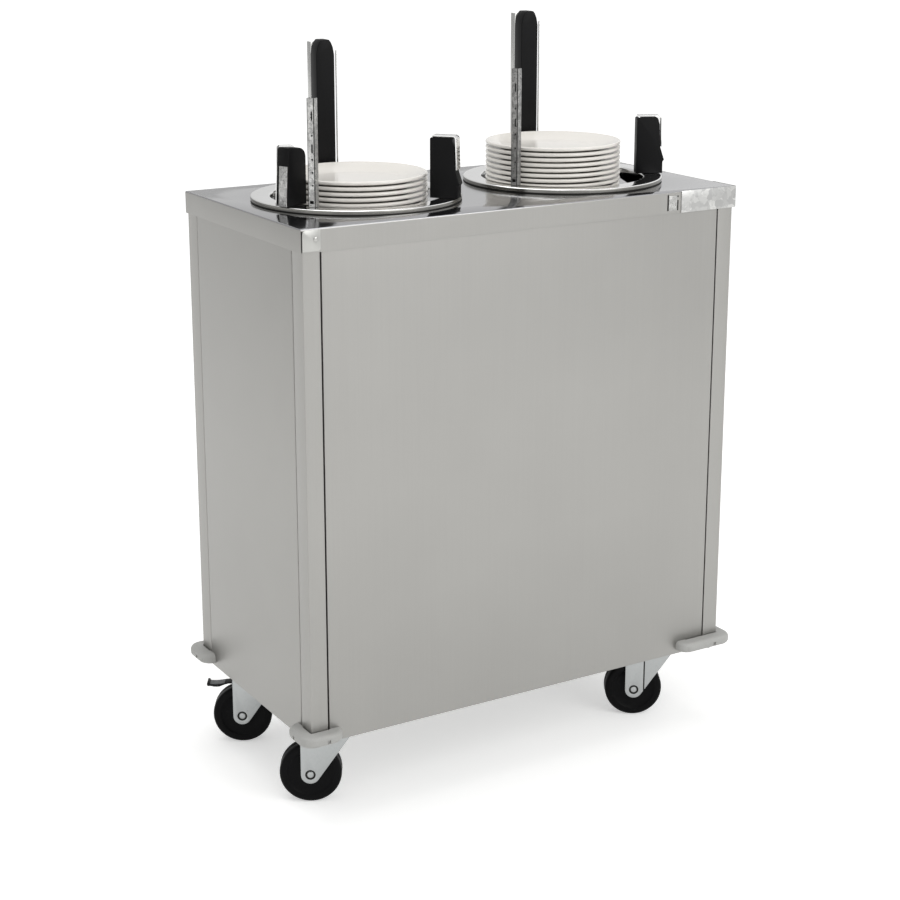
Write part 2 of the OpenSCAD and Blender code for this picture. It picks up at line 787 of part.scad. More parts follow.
// Outline of a short pad: X out from the well's middle, Y up, with two rounded upper corners, a
// chamfer under the outer one and a clamp wedge at the foot
module short_outline() {
    polygon([[pad_in, 0], [pad_out + clamp_foot, 0], [pad_out + clamp_foot, clamp_lip_z - clamp_step],
             [pad_out + clamp_out, clamp_lip_z], [pad_out, clamp_top],
             [pad_out - pad_lean, pad_h - pad_chamfer_h], [pad_out - pad_slope, pad_h - pad_round],
             [pad_out - pad_slope - pad_round, pad_h], [pad_in + pad_round, pad_h],
             [pad_in, pad_h - pad_round]]);
    for (x = [pad_in + pad_round, pad_out - pad_slope - pad_round])
        translate([x, pad_h - pad_round]) circle(r = pad_round);
}

// Outline of the side pad, grown by an edge: it leans, and its inner upper corner slopes away
module side_outline(edge) {
    far = side_out + edge;
    top = pad_h - side_drop + edge;
    polygon([[pad_in, 0], [far, 0], [far - side_lean, top - pad_round], [far - side_lean - pad_round, top],
             [pad_in + side_shoulder, top - side_fall],
             [pad_in + side_shoulder / 3, top - side_fall - side_shoulder / 3],
             [pad_in, top - side_fall - side_shoulder]]);
    translate([far - side_lean - pad_round, top - pad_round]) circle(r = pad_round);
}

// Stands an outline up in a guide's frame, from the side y and over the width w
module stand_up(y, w) {
    translate([0, y + w, 0]) rotate([90, 0, 0]) linear_extrude(w) children();
}

// Short guide's pad: a deep, narrow moulding with its clamp wedge on the outer face
module short_guide(side, turn) {
    color(black) at_guide(side, turn) stand_up(-short_w / 2, short_w) short_outline();
}

// Short guide's strap: a steel strip up the pad's outer face and over its top
module short_strap(side, turn) {
    low = clamp_top + slide_gap;
    lift = strap_gap + strap_t;
    far = pad_out - pad_lean;
    start = pad_in + pad_round;
    color(steel) at_guide(side, turn) stand_up(-short_w / 2, short_w) polygon([
        [pad_out + strap_gap, low], [pad_out + lift, low], [far + lift, pad_h], [far, pad_h + lift],
        [start, pad_h + lift], [start, pad_h], [start + strap_land, pad_h],
        [start + strap_land, pad_h + strap_gap], [far, pad_h + strap_gap], [far + strap_gap, pad_h]]);
}

// Side guide's pad: as deep as a short one, its knob on a neck at the flank
module side_guide() {
    color(black) at_guide(-1, left_side_turn) {
        stand_up(-short_w / 2, short_w) side_outline(0);
        translate([side_out - side_lean - knob_r, -short_w / 2, knob_up]) rotate([90, 0, 0]) {
            cylinder(r = knob_neck_r, h = knob_neck + knob_t);
            translate([0, 0, knob_neck]) cylinder(r = knob_r, h = knob_t);
        }
    }
}

// Side guide's strap: a thin sheet on the flank, seen round the pad's edge, and a low outer strip
module side_strap() {
    color(zinc) at_guide(-1, left_side_turn) {
        difference() {
            stand_up(-short_w / 2 - strap_t, strap_t) side_outline(side_edge);
            translate([side_out - side_lean - knob_r, over - short_w / 2, knob_up]) rotate([90, 0, 0])
                cylinder(r = knob_neck_r + fit, h = strap_t + 2 * over);
        }
        box_at([side_out, -short_w / 2 - strap_t, 0], [side_out + strap_t, short_w / 2, side_strip_h]);
        box_at([side_out, short_w / 2 - strap_t, 0], [side_out + side_strip_lip, short_w / 2, side_strip_h]);
    }
}

lid();
corner_cover();
corner_flaps();
lid_rivets();
post(-1, -1);  // post_front_left
post(1, -1);  // post_front_right
post(-1, 1);  // post_back_left
post(1, 1);  // post_back_right
long_panel(-1);  // front_panel
long_panel(1);  // back_panel
short_panel(-1);  // left_panel
short_panel(1);  // right_panel
base_tray();
corner_bumpers();
bumper_screws();
castor_plates();
castor_bolts();
ring(-1);  // left_ring
ring(1);  // right_ring
well_tube(-1);  // left_tube
well_tube(1);  // right_tube
guide_rods();
frame_rings();
springs(-1);  // left_springs
springs(1);  // right_springs
platform(-1);  // left_platform
platform(1);  // right_platform
spider(-1);  // left_spider
spider(1);  // right_spider
bushings(-1);  // left_bushings
bushings(1);  // right_bushings
plates(-1, 0, left_count);  // left_plates
plates(1, right_shift, right_count);  // right_plates
tall_guide(-1, left_tall_h);  // left_tall_guide
tall_guide(1, right_tall_h);  // right_tall_guide
tall_channel(-1, left_tall_h);  // left_tall_channel
tall_channel(1, right_tall_h);  // right_tall_channel
rail(-1, left_rail_turn, left_rail_h);  // left_rail
rail(1, right_rail_turn, right_rail_h);  // right_rail
short_guide(-1, left_short_turn);  // left_short_guide
short_guide(1, right_short_turn);  // right_short_guide
short_strap(-1, left_short_turn);  // left_short_strap
short_strap(1, right_short_turn);  // right_short_strap
side_guide();  // left_side_guide
side_strap();  // left_side_strap
fork(-1, -1);  // fork_front_left
fork(1, -1);  // fork_front_right
fork(-1, 1);  // fork_back_left
fork(1, 1);  // fork_back_right
axle(-1, -1);  // axle_front_left
axle(1, -1);  // axle_front_right
axle(-1, 1);  // axle_back_left
axle(1, 1);  // axle_back_right
wheel(-1, -1);  // wheel_front_left
wheel(1, -1);  // wheel_front_right
wheel(-1, 1);  // wheel_back_left
wheel(1, 1);  // wheel_back_right
pedal(1, -1, pedal_press);  // pedal_front_right
pedal(-1, 1, 0);  // pedal_back_left
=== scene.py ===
from math import cos, hypot, pi, radians, sin

import bpy
from mathutils import Matrix, Vector


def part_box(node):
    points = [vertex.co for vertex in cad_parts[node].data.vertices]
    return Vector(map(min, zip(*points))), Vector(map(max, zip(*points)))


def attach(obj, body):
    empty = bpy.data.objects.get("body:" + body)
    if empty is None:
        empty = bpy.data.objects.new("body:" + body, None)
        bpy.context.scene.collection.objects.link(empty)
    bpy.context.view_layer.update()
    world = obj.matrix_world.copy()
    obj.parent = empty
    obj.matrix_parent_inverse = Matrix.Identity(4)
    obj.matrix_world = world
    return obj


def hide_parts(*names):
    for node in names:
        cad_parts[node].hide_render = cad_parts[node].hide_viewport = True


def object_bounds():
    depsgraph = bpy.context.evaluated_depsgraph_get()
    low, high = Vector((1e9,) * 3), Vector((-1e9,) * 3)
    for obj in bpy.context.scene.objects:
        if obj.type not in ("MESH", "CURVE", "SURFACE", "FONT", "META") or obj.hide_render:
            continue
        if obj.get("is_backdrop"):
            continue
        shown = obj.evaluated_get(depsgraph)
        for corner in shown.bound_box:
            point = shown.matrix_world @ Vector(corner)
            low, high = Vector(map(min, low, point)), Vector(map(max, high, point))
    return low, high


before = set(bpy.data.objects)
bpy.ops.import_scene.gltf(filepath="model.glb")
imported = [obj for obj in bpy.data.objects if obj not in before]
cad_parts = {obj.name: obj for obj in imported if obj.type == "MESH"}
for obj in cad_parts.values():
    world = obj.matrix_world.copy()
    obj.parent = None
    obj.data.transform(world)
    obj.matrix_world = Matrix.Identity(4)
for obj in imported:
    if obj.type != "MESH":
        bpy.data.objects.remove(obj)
cad_low, cad_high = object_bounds()
bpy.ops.object.select_all(action="DESELECT")


# Studio: a pale painted floor that runs out to white, an even white surround and soft lamps.
# The floor is matt, so it keeps the cart's soft shadow, and only its seen colour is lifted.
def linear(code):
    """The linear colour of an sRGB hex value."""
    shares = [int(code[i:i + 2], 16) / 255 for i in (0, 2, 4)]
    return [s / 12.92 if s <= 0.04045 else ((s + 0.055) / 1.055) ** 2.4 for s in shares] + [1.0]


def add(tree, kind, inputs=None, **settings):
    """Adds a node, with its settings, and its inputs as values or as other nodes' outputs."""
    made = tree.nodes.new(kind)
    for name, value in settings.items():
        setattr(made, name, value)
    for key, value in (inputs or {}).items():
        if isinstance(value, bpy.types.NodeSocket):
            tree.links.new(value, made.inputs[key])
        else:
            made.inputs[key].default_value = value
    return made


def new_material(name):
    """A material without nodes, its node tree and the place on the object that it is seen at."""
    made = bpy.data.materials.new(name)
    made.use_nodes = True
    made.node_tree.nodes.clear()
    return made, made.node_tree, add(made.node_tree, "ShaderNodeTexCoord").outputs["Object"]


def seen_rays(tree):
    """1 for the rays that show the surround: camera, glossy and transmission rays."""
    path = add(tree, "ShaderNodeLightPath").outputs
    either = add(tree, "ShaderNodeMath", {0: path["Is Camera Ray"], 1: path["Is Glossy Ray"]},
                 operation="MAXIMUM")
    return add(tree, "ShaderNodeMath", {0: either.outputs[0], 1: path["Is Transmission Ray"]},
               operation="MAXIMUM").outputs[0]


surround_level, dark_wall = 0.55, 0.54
scene = bpy.context.scene
scene.view_settings.view_transform = "Standard"
scene.world = bpy.data.worlds.new("white_surround")
scene.world.use_nodes = True
tree = scene.world.node_tree
tree.nodes.clear()
lighting = add(tree, "ShaderNodeBackground", {"Color": linear("FFFFFF"), "Strength": surround_level})
# What polished metal mirrors gets darker towards the back left, as beside a dark studio wall
ray = add(tree, "ShaderNodeTexCoord").outputs["Generated"]
towards = add(tree, "ShaderNodeVectorMath", {0: ray, 1: (-0.6, 0.8, 0.0)},
              operation="DOT_PRODUCT").outputs["Value"]
mirrored = add(tree, "ShaderNodeMapRange", {"Value": towards, "From Min": -0.5, "From Max": 0.9,
                                            "To Min": 1.0, "To Max": dark_wall}).outputs[0]
white = add(tree, "ShaderNodeMath", {0: add(tree, "ShaderNodeLightPath").outputs["Is Camera Ray"],
                                     1: mirrored}, operation="MAXIMUM").outputs[0]
backdrop = add(tree, "ShaderNodeBackground", {"Color": linear("FFFFFF"), "Strength": white})
both = add(tree, "ShaderNodeMixShader", {0: seen_rays(tree), 1: lighting.outputs[0],
                                         2: backdrop.outputs[0]})
add(tree, "ShaderNodeOutputWorld", {"Surface": both.outputs[0]})

floor_size = 60.0
floor_lift, far_lift = 0.43, 0.62
fade_start, fade_end = 0.8, 2.6
bpy.ops.mesh.primitive_plane_add(size=floor_size, location=(0, 0, cad_low.z - 0.0002))
floor = bpy.context.object
floor.name = "studio_floor"
floor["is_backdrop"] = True
paint, tree, spot = new_material("floor_paint")
reach = add(tree, "ShaderNodeVectorMath", {0: spot}, operation="LENGTH").outputs["Value"]
fade = add(tree, "ShaderNodeMapRange", {"Value": reach, "From Min": fade_start, "From Max": fade_end,
                                        "To Min": floor_lift, "To Max": far_lift},
           interpolation_type="SMOOTHSTEP").outputs[0]
share = add(tree, "ShaderNodeMath", {0: seen_rays(tree), 1: fade}, operation="MULTIPLY").outputs[0]
matt = add(tree, "ShaderNodeBsdfDiffuse", {"Color": linear("F4F4F3")})
glow = add(tree, "ShaderNodeEmission", {"Color": linear("FFFFFF"), "Strength": share})
lifted = add(tree, "ShaderNodeAddShader", {0: matt.outputs[0], 1: glow.outputs[0]})
add(tree, "ShaderNodeOutputMaterial", {"Surface": lifted.outputs[0]})
floor.data.materials.append(paint)


def soft_lamp(name, place, aim, size, power):
    """A square area lamp that looks from its place to the aim."""
    bpy.ops.object.light_add(type="AREA", location=place)
    lamp = bpy.context.object
    lamp.name = name
    lamp.data.size = size
    lamp.data.energy = power
    lamp.rotation_euler = (Vector(aim) - Vector(place)).to_track_quat("-Z", "Y").to_euler()


cart_middle = (0, 0, 0.6)
soft_lamp("key_lamp", (1.0, -3.1, 2.5), cart_middle, 2.4, 46)
soft_lamp("top_lamp", (-0.4, 0.6, 3.6), cart_middle, 2.6, 40)
soft_lamp("side_lamp", (-3.4, -1.2, 1.9), cart_middle, 2.2, 4)

# Camera: a long lens from the front left that looks down a little. Its place is fitted to the
# cabinet's corners and to the wheels, with a small shift for the photograph's framing.
view_azimuth, view_tilt = radians(-31.041), radians(14.681)
bpy.ops.object.camera_add(location=(-1.6167, -2.6458, 1.4531))
camera = bpy.context.object
camera.data.sensor_width = 36.0
camera.data.lens = 75.132
camera.data.shift_y = -0.08
level = cos(view_tilt)
back = Vector((sin(view_azimuth) * level, -cos(view_azimuth) * level, sin(view_tilt)))
camera.rotation_euler = back.to_track_quat("Z", "Y").to_euler()
scene.camera = camera


# Cabinet walls: four shallow pans of satin stainless sheet, folded on a press brake and set
# between folded corner posts. Every fold keeps a small radius that catches the light.
def enter(mode):
    """Goes into edit or object mode, unless it is on already."""
    if not bpy.context.mode.startswith(mode):
        bpy.ops.object.mode_set(mode=mode)


def start_box(name, low, high):
    """A cube at its size and place, active and alone, in object mode."""
    bpy.ops.object.select_all(action="DESELECT")
    bpy.ops.mesh.primitive_cube_add(size=1, location=[(a + b) / 2 for a, b in zip(low, high)])
    piece = bpy.context.object
    piece.name = piece.data.name = name
    piece.scale = [b - a for a, b in zip(low, high)]
    bpy.ops.object.transform_apply(location=True, rotation=True, scale=True)
    return piece


def draw_out(step, whole=True):
    """Extrudes the whole mesh, or else what is selected, by a step in edit mode."""
    if whole:
        bpy.ops.mesh.select_all(action="SELECT")
    bpy.ops.mesh.extrude_region_move(TRANSFORM_OT_translate={"value": step})


def start_line(name, points):
    """A line drawn by hand: one vertex, extruded from point to point. It stays in edit mode."""
    bpy.ops.object.select_all(action="DESELECT")
    bpy.ops.mesh.primitive_plane_add(size=0.01, location=(0, 0, 0))
    piece = bpy.context.object
    piece.name = piece.data.name = name
    enter("EDIT")
    bpy.ops.mesh.merge(type="CENTER")
    bpy.ops.mesh.select_mode(type="VERT")
    bpy.ops.mesh.select_all(action="SELECT")
    bpy.ops.transform.translate(value=points[0])
    for start, end in zip(points, points[1:]):
        draw_out([b - a for a, b in zip(start, end)], whole=False)
    return piece


def choose(piece, kind, test):
    """Selects, in edit mode, the faces whose middle and normal pass the test, or the edges whose
    middle and direction do."""
    bpy.context.view_layer.objects.active = piece
    piece.select_set(True)
    enter("EDIT")
    bpy.ops.mesh.select_mode(type=kind)
    bpy.ops.mesh.select_all(action="DESELECT")
    enter("OBJECT")
    mesh = piece.data
    if kind == "FACE":
        for face in mesh.polygons:
            face.select = test(face.center, face.normal)
    else:
        for edge in mesh.edges:
            a, b = (mesh.vertices[i].co for i in edge.vertices)
            edge.select = test((a + b) / 2, (b - a).normalized())
    enter("EDIT")


def round_edges(piece, width, segments, test):
    """Bevels the edges whose middle and direction pass the test, and stays in edit mode."""
    choose(piece, "EDGE", test)
    bpy.ops.mesh.bevel(offset=width, segments=segments)


def modify(piece, kind, **settings):
    """Adds a modifier with its settings and applies it, in object mode."""
    enter("OBJECT")
    bpy.context.view_layer.objects.active = piece
    made = piece.modifiers.new(kind.lower(), kind)
    for name, value in settings.items():
        setattr(made, name, value)
    bpy.ops.object.modifier_apply(modifier=made.name)


def weld():
    """Merges the doubles of the whole mesh, in edit mode, and leaves it selected."""
    bpy.ops.mesh.select_all(action="SELECT")
    bpy.ops.mesh.remove_doubles(threshold=0.00001)


def close_up(piece):
    """Merges the doubles of a piece in edit mode and turns its faces outwards."""
    weld()
    bpy.ops.mesh.normals_make_consistent(inside=False)
    enter("OBJECT")


def only(*pieces):
    """Selects these pieces alone, in object mode, with the first of them active."""
    enter("OBJECT")
    bpy.ops.object.select_all(action="DESELECT")
    for piece in pieces:
        piece.select_set(True)
    bpy.context.view_layer.objects.active = pieces[0]


def dress(piece, body, material, nodes=(), angle=35):
    """The last step of every piece: smooth faces, its material, its body, and the frame's nodes that it
    stands for hidden.
    """
    only(piece)
    bpy.ops.object.shade_smooth_by_angle(angle=radians(angle))
    slots = piece.data.materials
    if slots:
        slots[0] = material
    else:
        slots.append(material)
    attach(piece, body)
    if nodes:
        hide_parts(*nodes)
    return piece


def tint(piece, material, test):
    """Gives the faces whose middle and normal pass the test a finish of their own. It comes last
    before a piece is set in place and dressed, which fills the first slot."""
    slots = piece.data.materials
    if not slots:
        slots.append(material)
    slots.append(material)
    for face in piece.data.polygons:
        if test(face.center, face.normal):
            face.material_index = len(slots) - 1
    return piece


def brushed_steel(name, light, dark, rough, grain, spread=0.04):
    """Stainless sheet. The grain is the size of one brush mark along X, Y and Z, in metres."""
    made, tree, place = new_material(name)
    marks = add(tree, "ShaderNodeMapping", {"Vector": place, "Scale": [1 / g for g in grain]})
    streak = add(tree, "ShaderNodeTexNoise", {"Vector": marks.outputs[0], "Scale": 1.0, "Detail": 3.0,
                                              "Roughness": 0.6}).outputs[0]
    cloud = add(tree, "ShaderNodeTexNoise", {"Vector": place, "Scale": 5.0, "Detail": 2.0}).outputs[0]
    both = add(tree, "ShaderNodeMath", {0: streak, 1: cloud}, operation="ADD").outputs[0]
    tone = add(tree, "ShaderNodeMapRange", {"Value": both, "From Min": 0.6, "From Max": 1.4}).outputs[0]
    colour = add(tree, "ShaderNodeMix", {0: tone, 6: linear(dark), 7: linear(light)},
                 data_type="RGBA").outputs[2]
    gloss = add(tree, "ShaderNodeMapRange", {"Value": streak, "From Min": 0.3, "From Max": 0.7,
                                             "To Min": rough - spread, "To Max": rough + spread}).outputs[0]
    relief = add(tree, "ShaderNodeBump", {"Height": streak, "Strength": 0.12, "Distance": 0.0002})
    steel = add(tree, "ShaderNodeBsdfPrincipled", {"Base Color": colour, "Metallic": 1.0,
                                                   "Roughness": gloss, "Normal": relief.outputs[0]})
    add(tree, "ShaderNodeOutputMaterial", {"Surface": steel.outputs[0]})
    return made


# The satin grain is drawn at 1.6 mm, the finest that shows from a few steps away
satin_walls = brushed_steel("satin_stainless_walls", "A09F9C", "9B9A97", 0.40, (0.0016, 0.0016, 0.22), 0.02)
fold_radius = 0.0016


wall_sheet = 0.0015
hair = 0.0001  # how near a test has to find a face or an edge
for side, out in (("front", (0, -1, 0)), ("back", (0, 1, 0)), ("left", (-1, 0, 0)), ("right", (1, 0, 0))):
    low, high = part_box(side + "_panel")
    out = Vector(out)
    face = max(low.dot(out), high.dot(out))
    pan = start_box(side + "_panel_pan", low, high)
    choose(pan, "FACE", lambda c, n: n.dot(out) < -0.9)
    bpy.ops.mesh.delete(type="FACE")
    round_edges(pan, fold_radius, 4, lambda c, d: abs(c.dot(out) - face) < hair)
    modify(pan, "SOLIDIFY", thickness=wall_sheet, offset=-1)
    dress(pan, "cabinet", satin_walls, [side + "_panel"])

post_wide, post_deep, post_sheet = 0.030, 0.034, 0.002
post_fold, post_lip = 0.010, 0.016


def copy_piece(piece, name, change):
    """A copy with its own mesh, changed by a matrix, with its faces outwards again."""
    made = piece.copy()
    made.data = piece.data.copy()
    made.name = made.data.name = name
    scene.collection.objects.link(made)
    made.data.transform(change)
    if change.determinant() < 0:
        only(made)
        enter("EDIT")
        bpy.ops.mesh.select_all(action="SELECT")
        bpy.ops.mesh.flip_normals()
        enter("OBJECT")
    return made


post_low, post_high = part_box("post_front_left")
x, y, z = post_low
section = [(x + post_wide + post_lip, y + post_fold), (x + post_wide, y + post_fold),
           (x + post_wide, y), (x, y), (x, y + post_deep), (x + post_fold, y + post_deep),
           (x + post_fold, y + post_deep + post_lip)]
post = start_line("post_front_left_folded", [(a, b, z) for a, b in section])
draw_out((0, 0, post_high.z - post_low.z))
round_edges(post, fold_radius, 4, lambda c, d: abs(d.z) > 0.9 and any(
    hypot(c.x - a, c.y - b) < hair for a, b in section[1:-1]))
enter("OBJECT")
outward = [f for f in post.data.polygons if abs(f.normal.y) > 0.9 and f.center.y < y + hair][0]
modify(post, "SOLIDIFY", thickness=post_sheet, offset=-1 if outward.normal.y < 0 else 1)
enter("EDIT")
close_up(post)
for sx, sy, name in ((1, 1, "post_front_left"), (-1, 1, "post_front_right"),
                     (1, -1, "post_back_left"), (-1, -1, "post_back_right")):
    folded = post
    if name != "post_front_left":
        folded = copy_piece(post, name + "_folded", Matrix.Diagonal((sx, sy, 1, 1)))
    dress(folded, "cabinet", satin_walls, [name])

# Lid: one tray of bright stainless sheet, folded down at its edges and open below, with a round
# hole over each well. Two slots at the front right free the tongue of a spring catch.
def cut(piece, tool):
    """Takes the tool's shape out of the piece and removes the tool."""
    modify(piece, "BOOLEAN", object=tool, operation="DIFFERENCE", solver="MANIFOLD")
    bpy.data.objects.remove(tool)


def start_rod(radius, depth, place, sides=24, axis="Z"):
    """A cylinder along an axis, at its place and active."""
    turn = {"X": (0, pi / 2, 0), "Y": (pi / 2, 0, 0), "Z": (0, 0, 0)}[axis]
    bpy.ops.mesh.primitive_cylinder_add(vertices=sides, radius=radius, depth=depth, location=place,
                                        rotation=turn)
    return bpy.context.object


bright_lid = brushed_steel("bright_stainless_lid", "B4B4B6", "AAAAAC", 0.12, (0.2, 0.0018, 0.0018), 0.03)
lid_low, lid_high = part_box("lid")
lid_sheet, lid_fold = 0.002, 0.0022
lid = start_box("lid_tray", lid_low, lid_high)
choose(lid, "FACE", lambda c, n: n.z < -0.9)
bpy.ops.mesh.delete(type="FACE")
round_edges(lid, lid_fold, 4, lambda c, d: abs(d.z) > 0.9)
round_edges(lid, lid_fold, 4, lambda c, d: abs(d.z) < 0.1 and c.z > lid_high.z - hair)
modify(lid, "SOLIDIFY", thickness=lid_sheet, offset=-1)

wells = {"left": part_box("left_platform"), "right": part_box("right_platform")}
wells = {side: Vector(((low.x + high.x) / 2, 0, lid_high.z)) for side, (low, high) in wells.items()}
hole_radius, through = 0.1515, 0.01
for side, middle in wells.items():
    cut(lid, start_rod(hole_radius, 2 * through, middle, 128))

slot_wide, slot_foot, slot_gap, slot_in = 0.003, 0.005, 0.020, 0.141
slot_x, slot_z = lid_high.x - slot_in, lid_low.z + slot_foot
for x, tall in ((slot_x, 0.027), (slot_x + slot_gap, 0.017)):
    tool = start_box("slot_tool", (x - slot_wide / 2, lid_low.y - through, slot_z),
                     (x + slot_wide / 2, lid_low.y + through, slot_z + tall))
    round_edges(tool, slot_wide * 0.49, 5, lambda c, d: abs(d.y) > 0.9 and c.z > slot_z + tall / 2)
    cut(lid, tool)
dot_radius, dot_down = 0.0016, 0.008
cut(lid, start_rod(dot_radius, 2 * through, (slot_x + slot_gap, lid_low.y, lid_high.z - dot_down), 16, "Y"))

slit_wide, slit_in, slit_deep, slit_top = 0.0018, 0.0008, 0.003, 0.003
cut(lid, start_box("slit_tool", (lid_low.x + slit_in, lid_low.y - through, lid_low.z - through),
                   (lid_low.x + slit_in + slit_wide, lid_low.y + slit_deep, lid_high.z - slit_top)))
tint(lid, satin_walls, lambda c, n: abs(n.z) < 0.5)
dress(lid, "cabinet", bright_lid, ["lid"])


# Catch tongue: the strip between the two slots, scuffed where the catch rubs on it.
# It is galvanised spring sheet, set a hair proud of the lid's edge.
def galvanised(name, light, dark, spangle, rough, scuffs=0.0):
    """Galvanised sheet: large zinc crystals of the spangle's size, each a little different in tone,
    with dull flakes between them."""
    made, tree, place = new_material(name)
    bend = add(tree, "ShaderNodeTexNoise", {"Vector": place, "Scale": 0.6 / spangle, "Detail": 3.0})
    shift = add(tree, "ShaderNodeVectorMath", {0: bend.outputs["Color"], 3: spangle * 1.6},
                operation="SCALE").outputs[0]
    spot = add(tree, "ShaderNodeVectorMath", {0: place, 1: shift}, operation="ADD").outputs[0]
    crystal = add(tree, "ShaderNodeTexVoronoi", {"Vector": spot, "Scale": 1 / spangle})
    tone = add(tree, "ShaderNodeSeparateColor", {"Color": crystal.outputs["Color"]}).outputs[0]
    flake = add(tree, "ShaderNodeTexNoise", {"Vector": spot, "Scale": 1.2 / spangle, "Detail": 4.0,
                                             "Distortion": 1.2}).outputs[0]
    dull = add(tree, "ShaderNodeMapRange", {"Value": flake, "From Min": 0.52, "From Max": 0.66}).outputs[0]
    base = add(tree, "ShaderNodeMix", {0: tone, 6: linear(light), 7: linear(dark)},
               data_type="RGBA").outputs[2]
    colour = add(tree, "ShaderNodeMix", {0: dull, 6: base, 7: linear(dark)}, data_type="RGBA").outputs[2]
    if scuffs:
        fine = add(tree, "ShaderNodeTexNoise", {"Vector": place, "Scale": 220.0, "Detail": 2.0,
                                                "Distortion": 3.0}).outputs[0]
        line = add(tree, "ShaderNodeMapRange", {"Value": fine, "From Min": 0.60, "From Max": 0.66,
                                                "To Max": scuffs}).outputs[0]
        colour = add(tree, "ShaderNodeMix", {0: line, 6: colour, 7: linear("3A3A3A")},
                     data_type="RGBA").outputs[2]
    gloss = add(tree, "ShaderNodeMapRange", {"Value": tone, "To Min": rough - 0.07,
                                             "To Max": rough + 0.07}).outputs[0]
    relief = add(tree, "ShaderNodeBump", {"Height": flake, "Strength": 0.1, "Distance": 0.0003})
    zinc = add(tree, "ShaderNodeBsdfPrincipled", {"Base Color": colour, "Metallic": 1.0,
                                                  "Roughness": gloss, "Normal": relief.outputs[0]})
    add(tree, "ShaderNodeOutputMaterial", {"Surface": zinc.outputs[0]})
    return made


def soften(piece, width, segments=3, angle=30):
    """Rounds the sharp edges of a moulded or cut piece."""
    modify(piece, "BEVEL", width=width, segments=segments, limit_method="ANGLE",
           angle_limit=radians(angle))


scuffed_zinc = galvanised("galvanised_scuffed", "C0C0BE", "A2A2A0", 0.006, 0.40, 0.7)
tongue_proud, tongue_tall = 0.0005, 0.0245
tongue = start_box("catch_tongue", (slot_x + slot_wide / 2, lid_low.y - tongue_proud, slot_z),
                   (slot_x + slot_gap - slot_wide / 2, lid_low.y, slot_z + tongue_tall))
soften(tongue, 0.0002, 2)
dress(tongue, "cabinet", scuffed_zinc)

# Corner cover: an angle of galvanised sheet, folded round the front right corner of the lid's edge
spangled = galvanised("galvanised_spangled", "C2C2C0", "A4A4A3", 0.011, 0.40)
low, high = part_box("corner_cover")
cover_sheet, cover_fold = 0.0012, 0.002
cover = start_box("corner_cover_angle", low, high)
choose(cover, "FACE", lambda c, n: n.y < 0.9 and n.x < 0.9 and not (n.y < -0.9 or n.x > 0.9)
       or n.y > 0.9)
bpy.ops.mesh.delete(type="FACE")
round_edges(cover, cover_fold, 4,
            lambda c, d: abs(d.z) > 0.9 and c.x > high.x - 0.001 and c.y < low.y + 0.001)
modify(cover, "SOLIDIFY", thickness=cover_sheet, offset=-1)
soften(cover, 0.0003, 2, 60)
dress(cover, "cabinet", spangled, ["corner_cover"])

# Corner laps: the folded ends of the lid's edge, one at each plain corner, with a rounded upper
# corner and a clipped lower one, each held by a domed steel rivet
lap_steel = brushed_steel("bright_stainless_laps", "B4B4B1", "A9A9A6", 0.30, (0.002, 0.002, 0.03))
low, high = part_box("corner_flaps")
lap_wide, lap_sheet, lap_round, lap_clip = 0.030, 0.0015, 0.005, 0.003
lap = start_box("corner_laps", low, (low.x + lap_wide, low.y + lap_sheet, high.z))
round_edges(lap, lap_round, 6,
            lambda c, d: abs(d.y) > 0.9 and c.x < low.x + 0.001 and c.z > high.z - 0.001)
round_edges(lap, lap_clip, 1,
            lambda c, d: abs(d.y) > 0.9 and c.x > low.x + lap_wide - 0.001 and c.z < low.z + 0.001)
soften(lap, 0.0003, 2, 50)


def join(pieces):
    """Joins several pieces into the first."""
    only(*pieces)
    bpy.ops.object.join()
    return pieces[0]


def turned(name, line, steps, middle=(0, 0, 0), axis="Z"):
    """A turned piece: a line of radius and reach, carried round an axis along Z or Y."""
    x, y, z = middle
    if axis == "Z":
        piece = start_line(name, [(x + r, y, z + reach) for r, reach in line])
    else:
        piece = start_line(name, [(x, y + reach, z + r) for r, reach in line])
    bpy.ops.mesh.select_all(action="SELECT")
    bpy.ops.mesh.spin(steps=steps, angle=2 * pi, center=middle, axis=(0, axis == "Y", axis == "Z"))
    close_up(piece)
    return piece


def arc(middle, radius, start, end, count):
    """Points on a quarter or any other part of a circle, angles in degrees."""
    turns = [radians(start + (end - start) * i / count) for i in range(count + 1)]
    return [(middle[0] + radius * cos(t), middle[1] + radius * sin(t)) for t in turns]


low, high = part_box("lid_rivets")
rivet_radius, rivet_high, rivet_seat = 0.0042, 0.0015, 0.0016
dome = [(rivet_radius * cos(t * pi / 12), -rivet_high * sin(t * pi / 12)) for t in range(7)]
rivet = turned("lid_rivet_heads", dome, 24,
               (low.x + rivet_radius, low.y + rivet_seat, (low.z + high.z) / 2), "Y")
corners = ((1, -1), (-1, -1))
laps = [lap] + [copy_piece(lap, "lap", Matrix.Diagonal((sx, sy, 1, 1))) for sx, sy in corners]
heads = [rivet] + [copy_piece(rivet, "head", Matrix.Diagonal((sx, sy, 1, 1))) for sx, sy in corners]
dress(join(laps), "cabinet", lap_steel, ["corner_flaps"])
dress(join(heads), "cabinet", lap_steel, ["lid_rivets"])

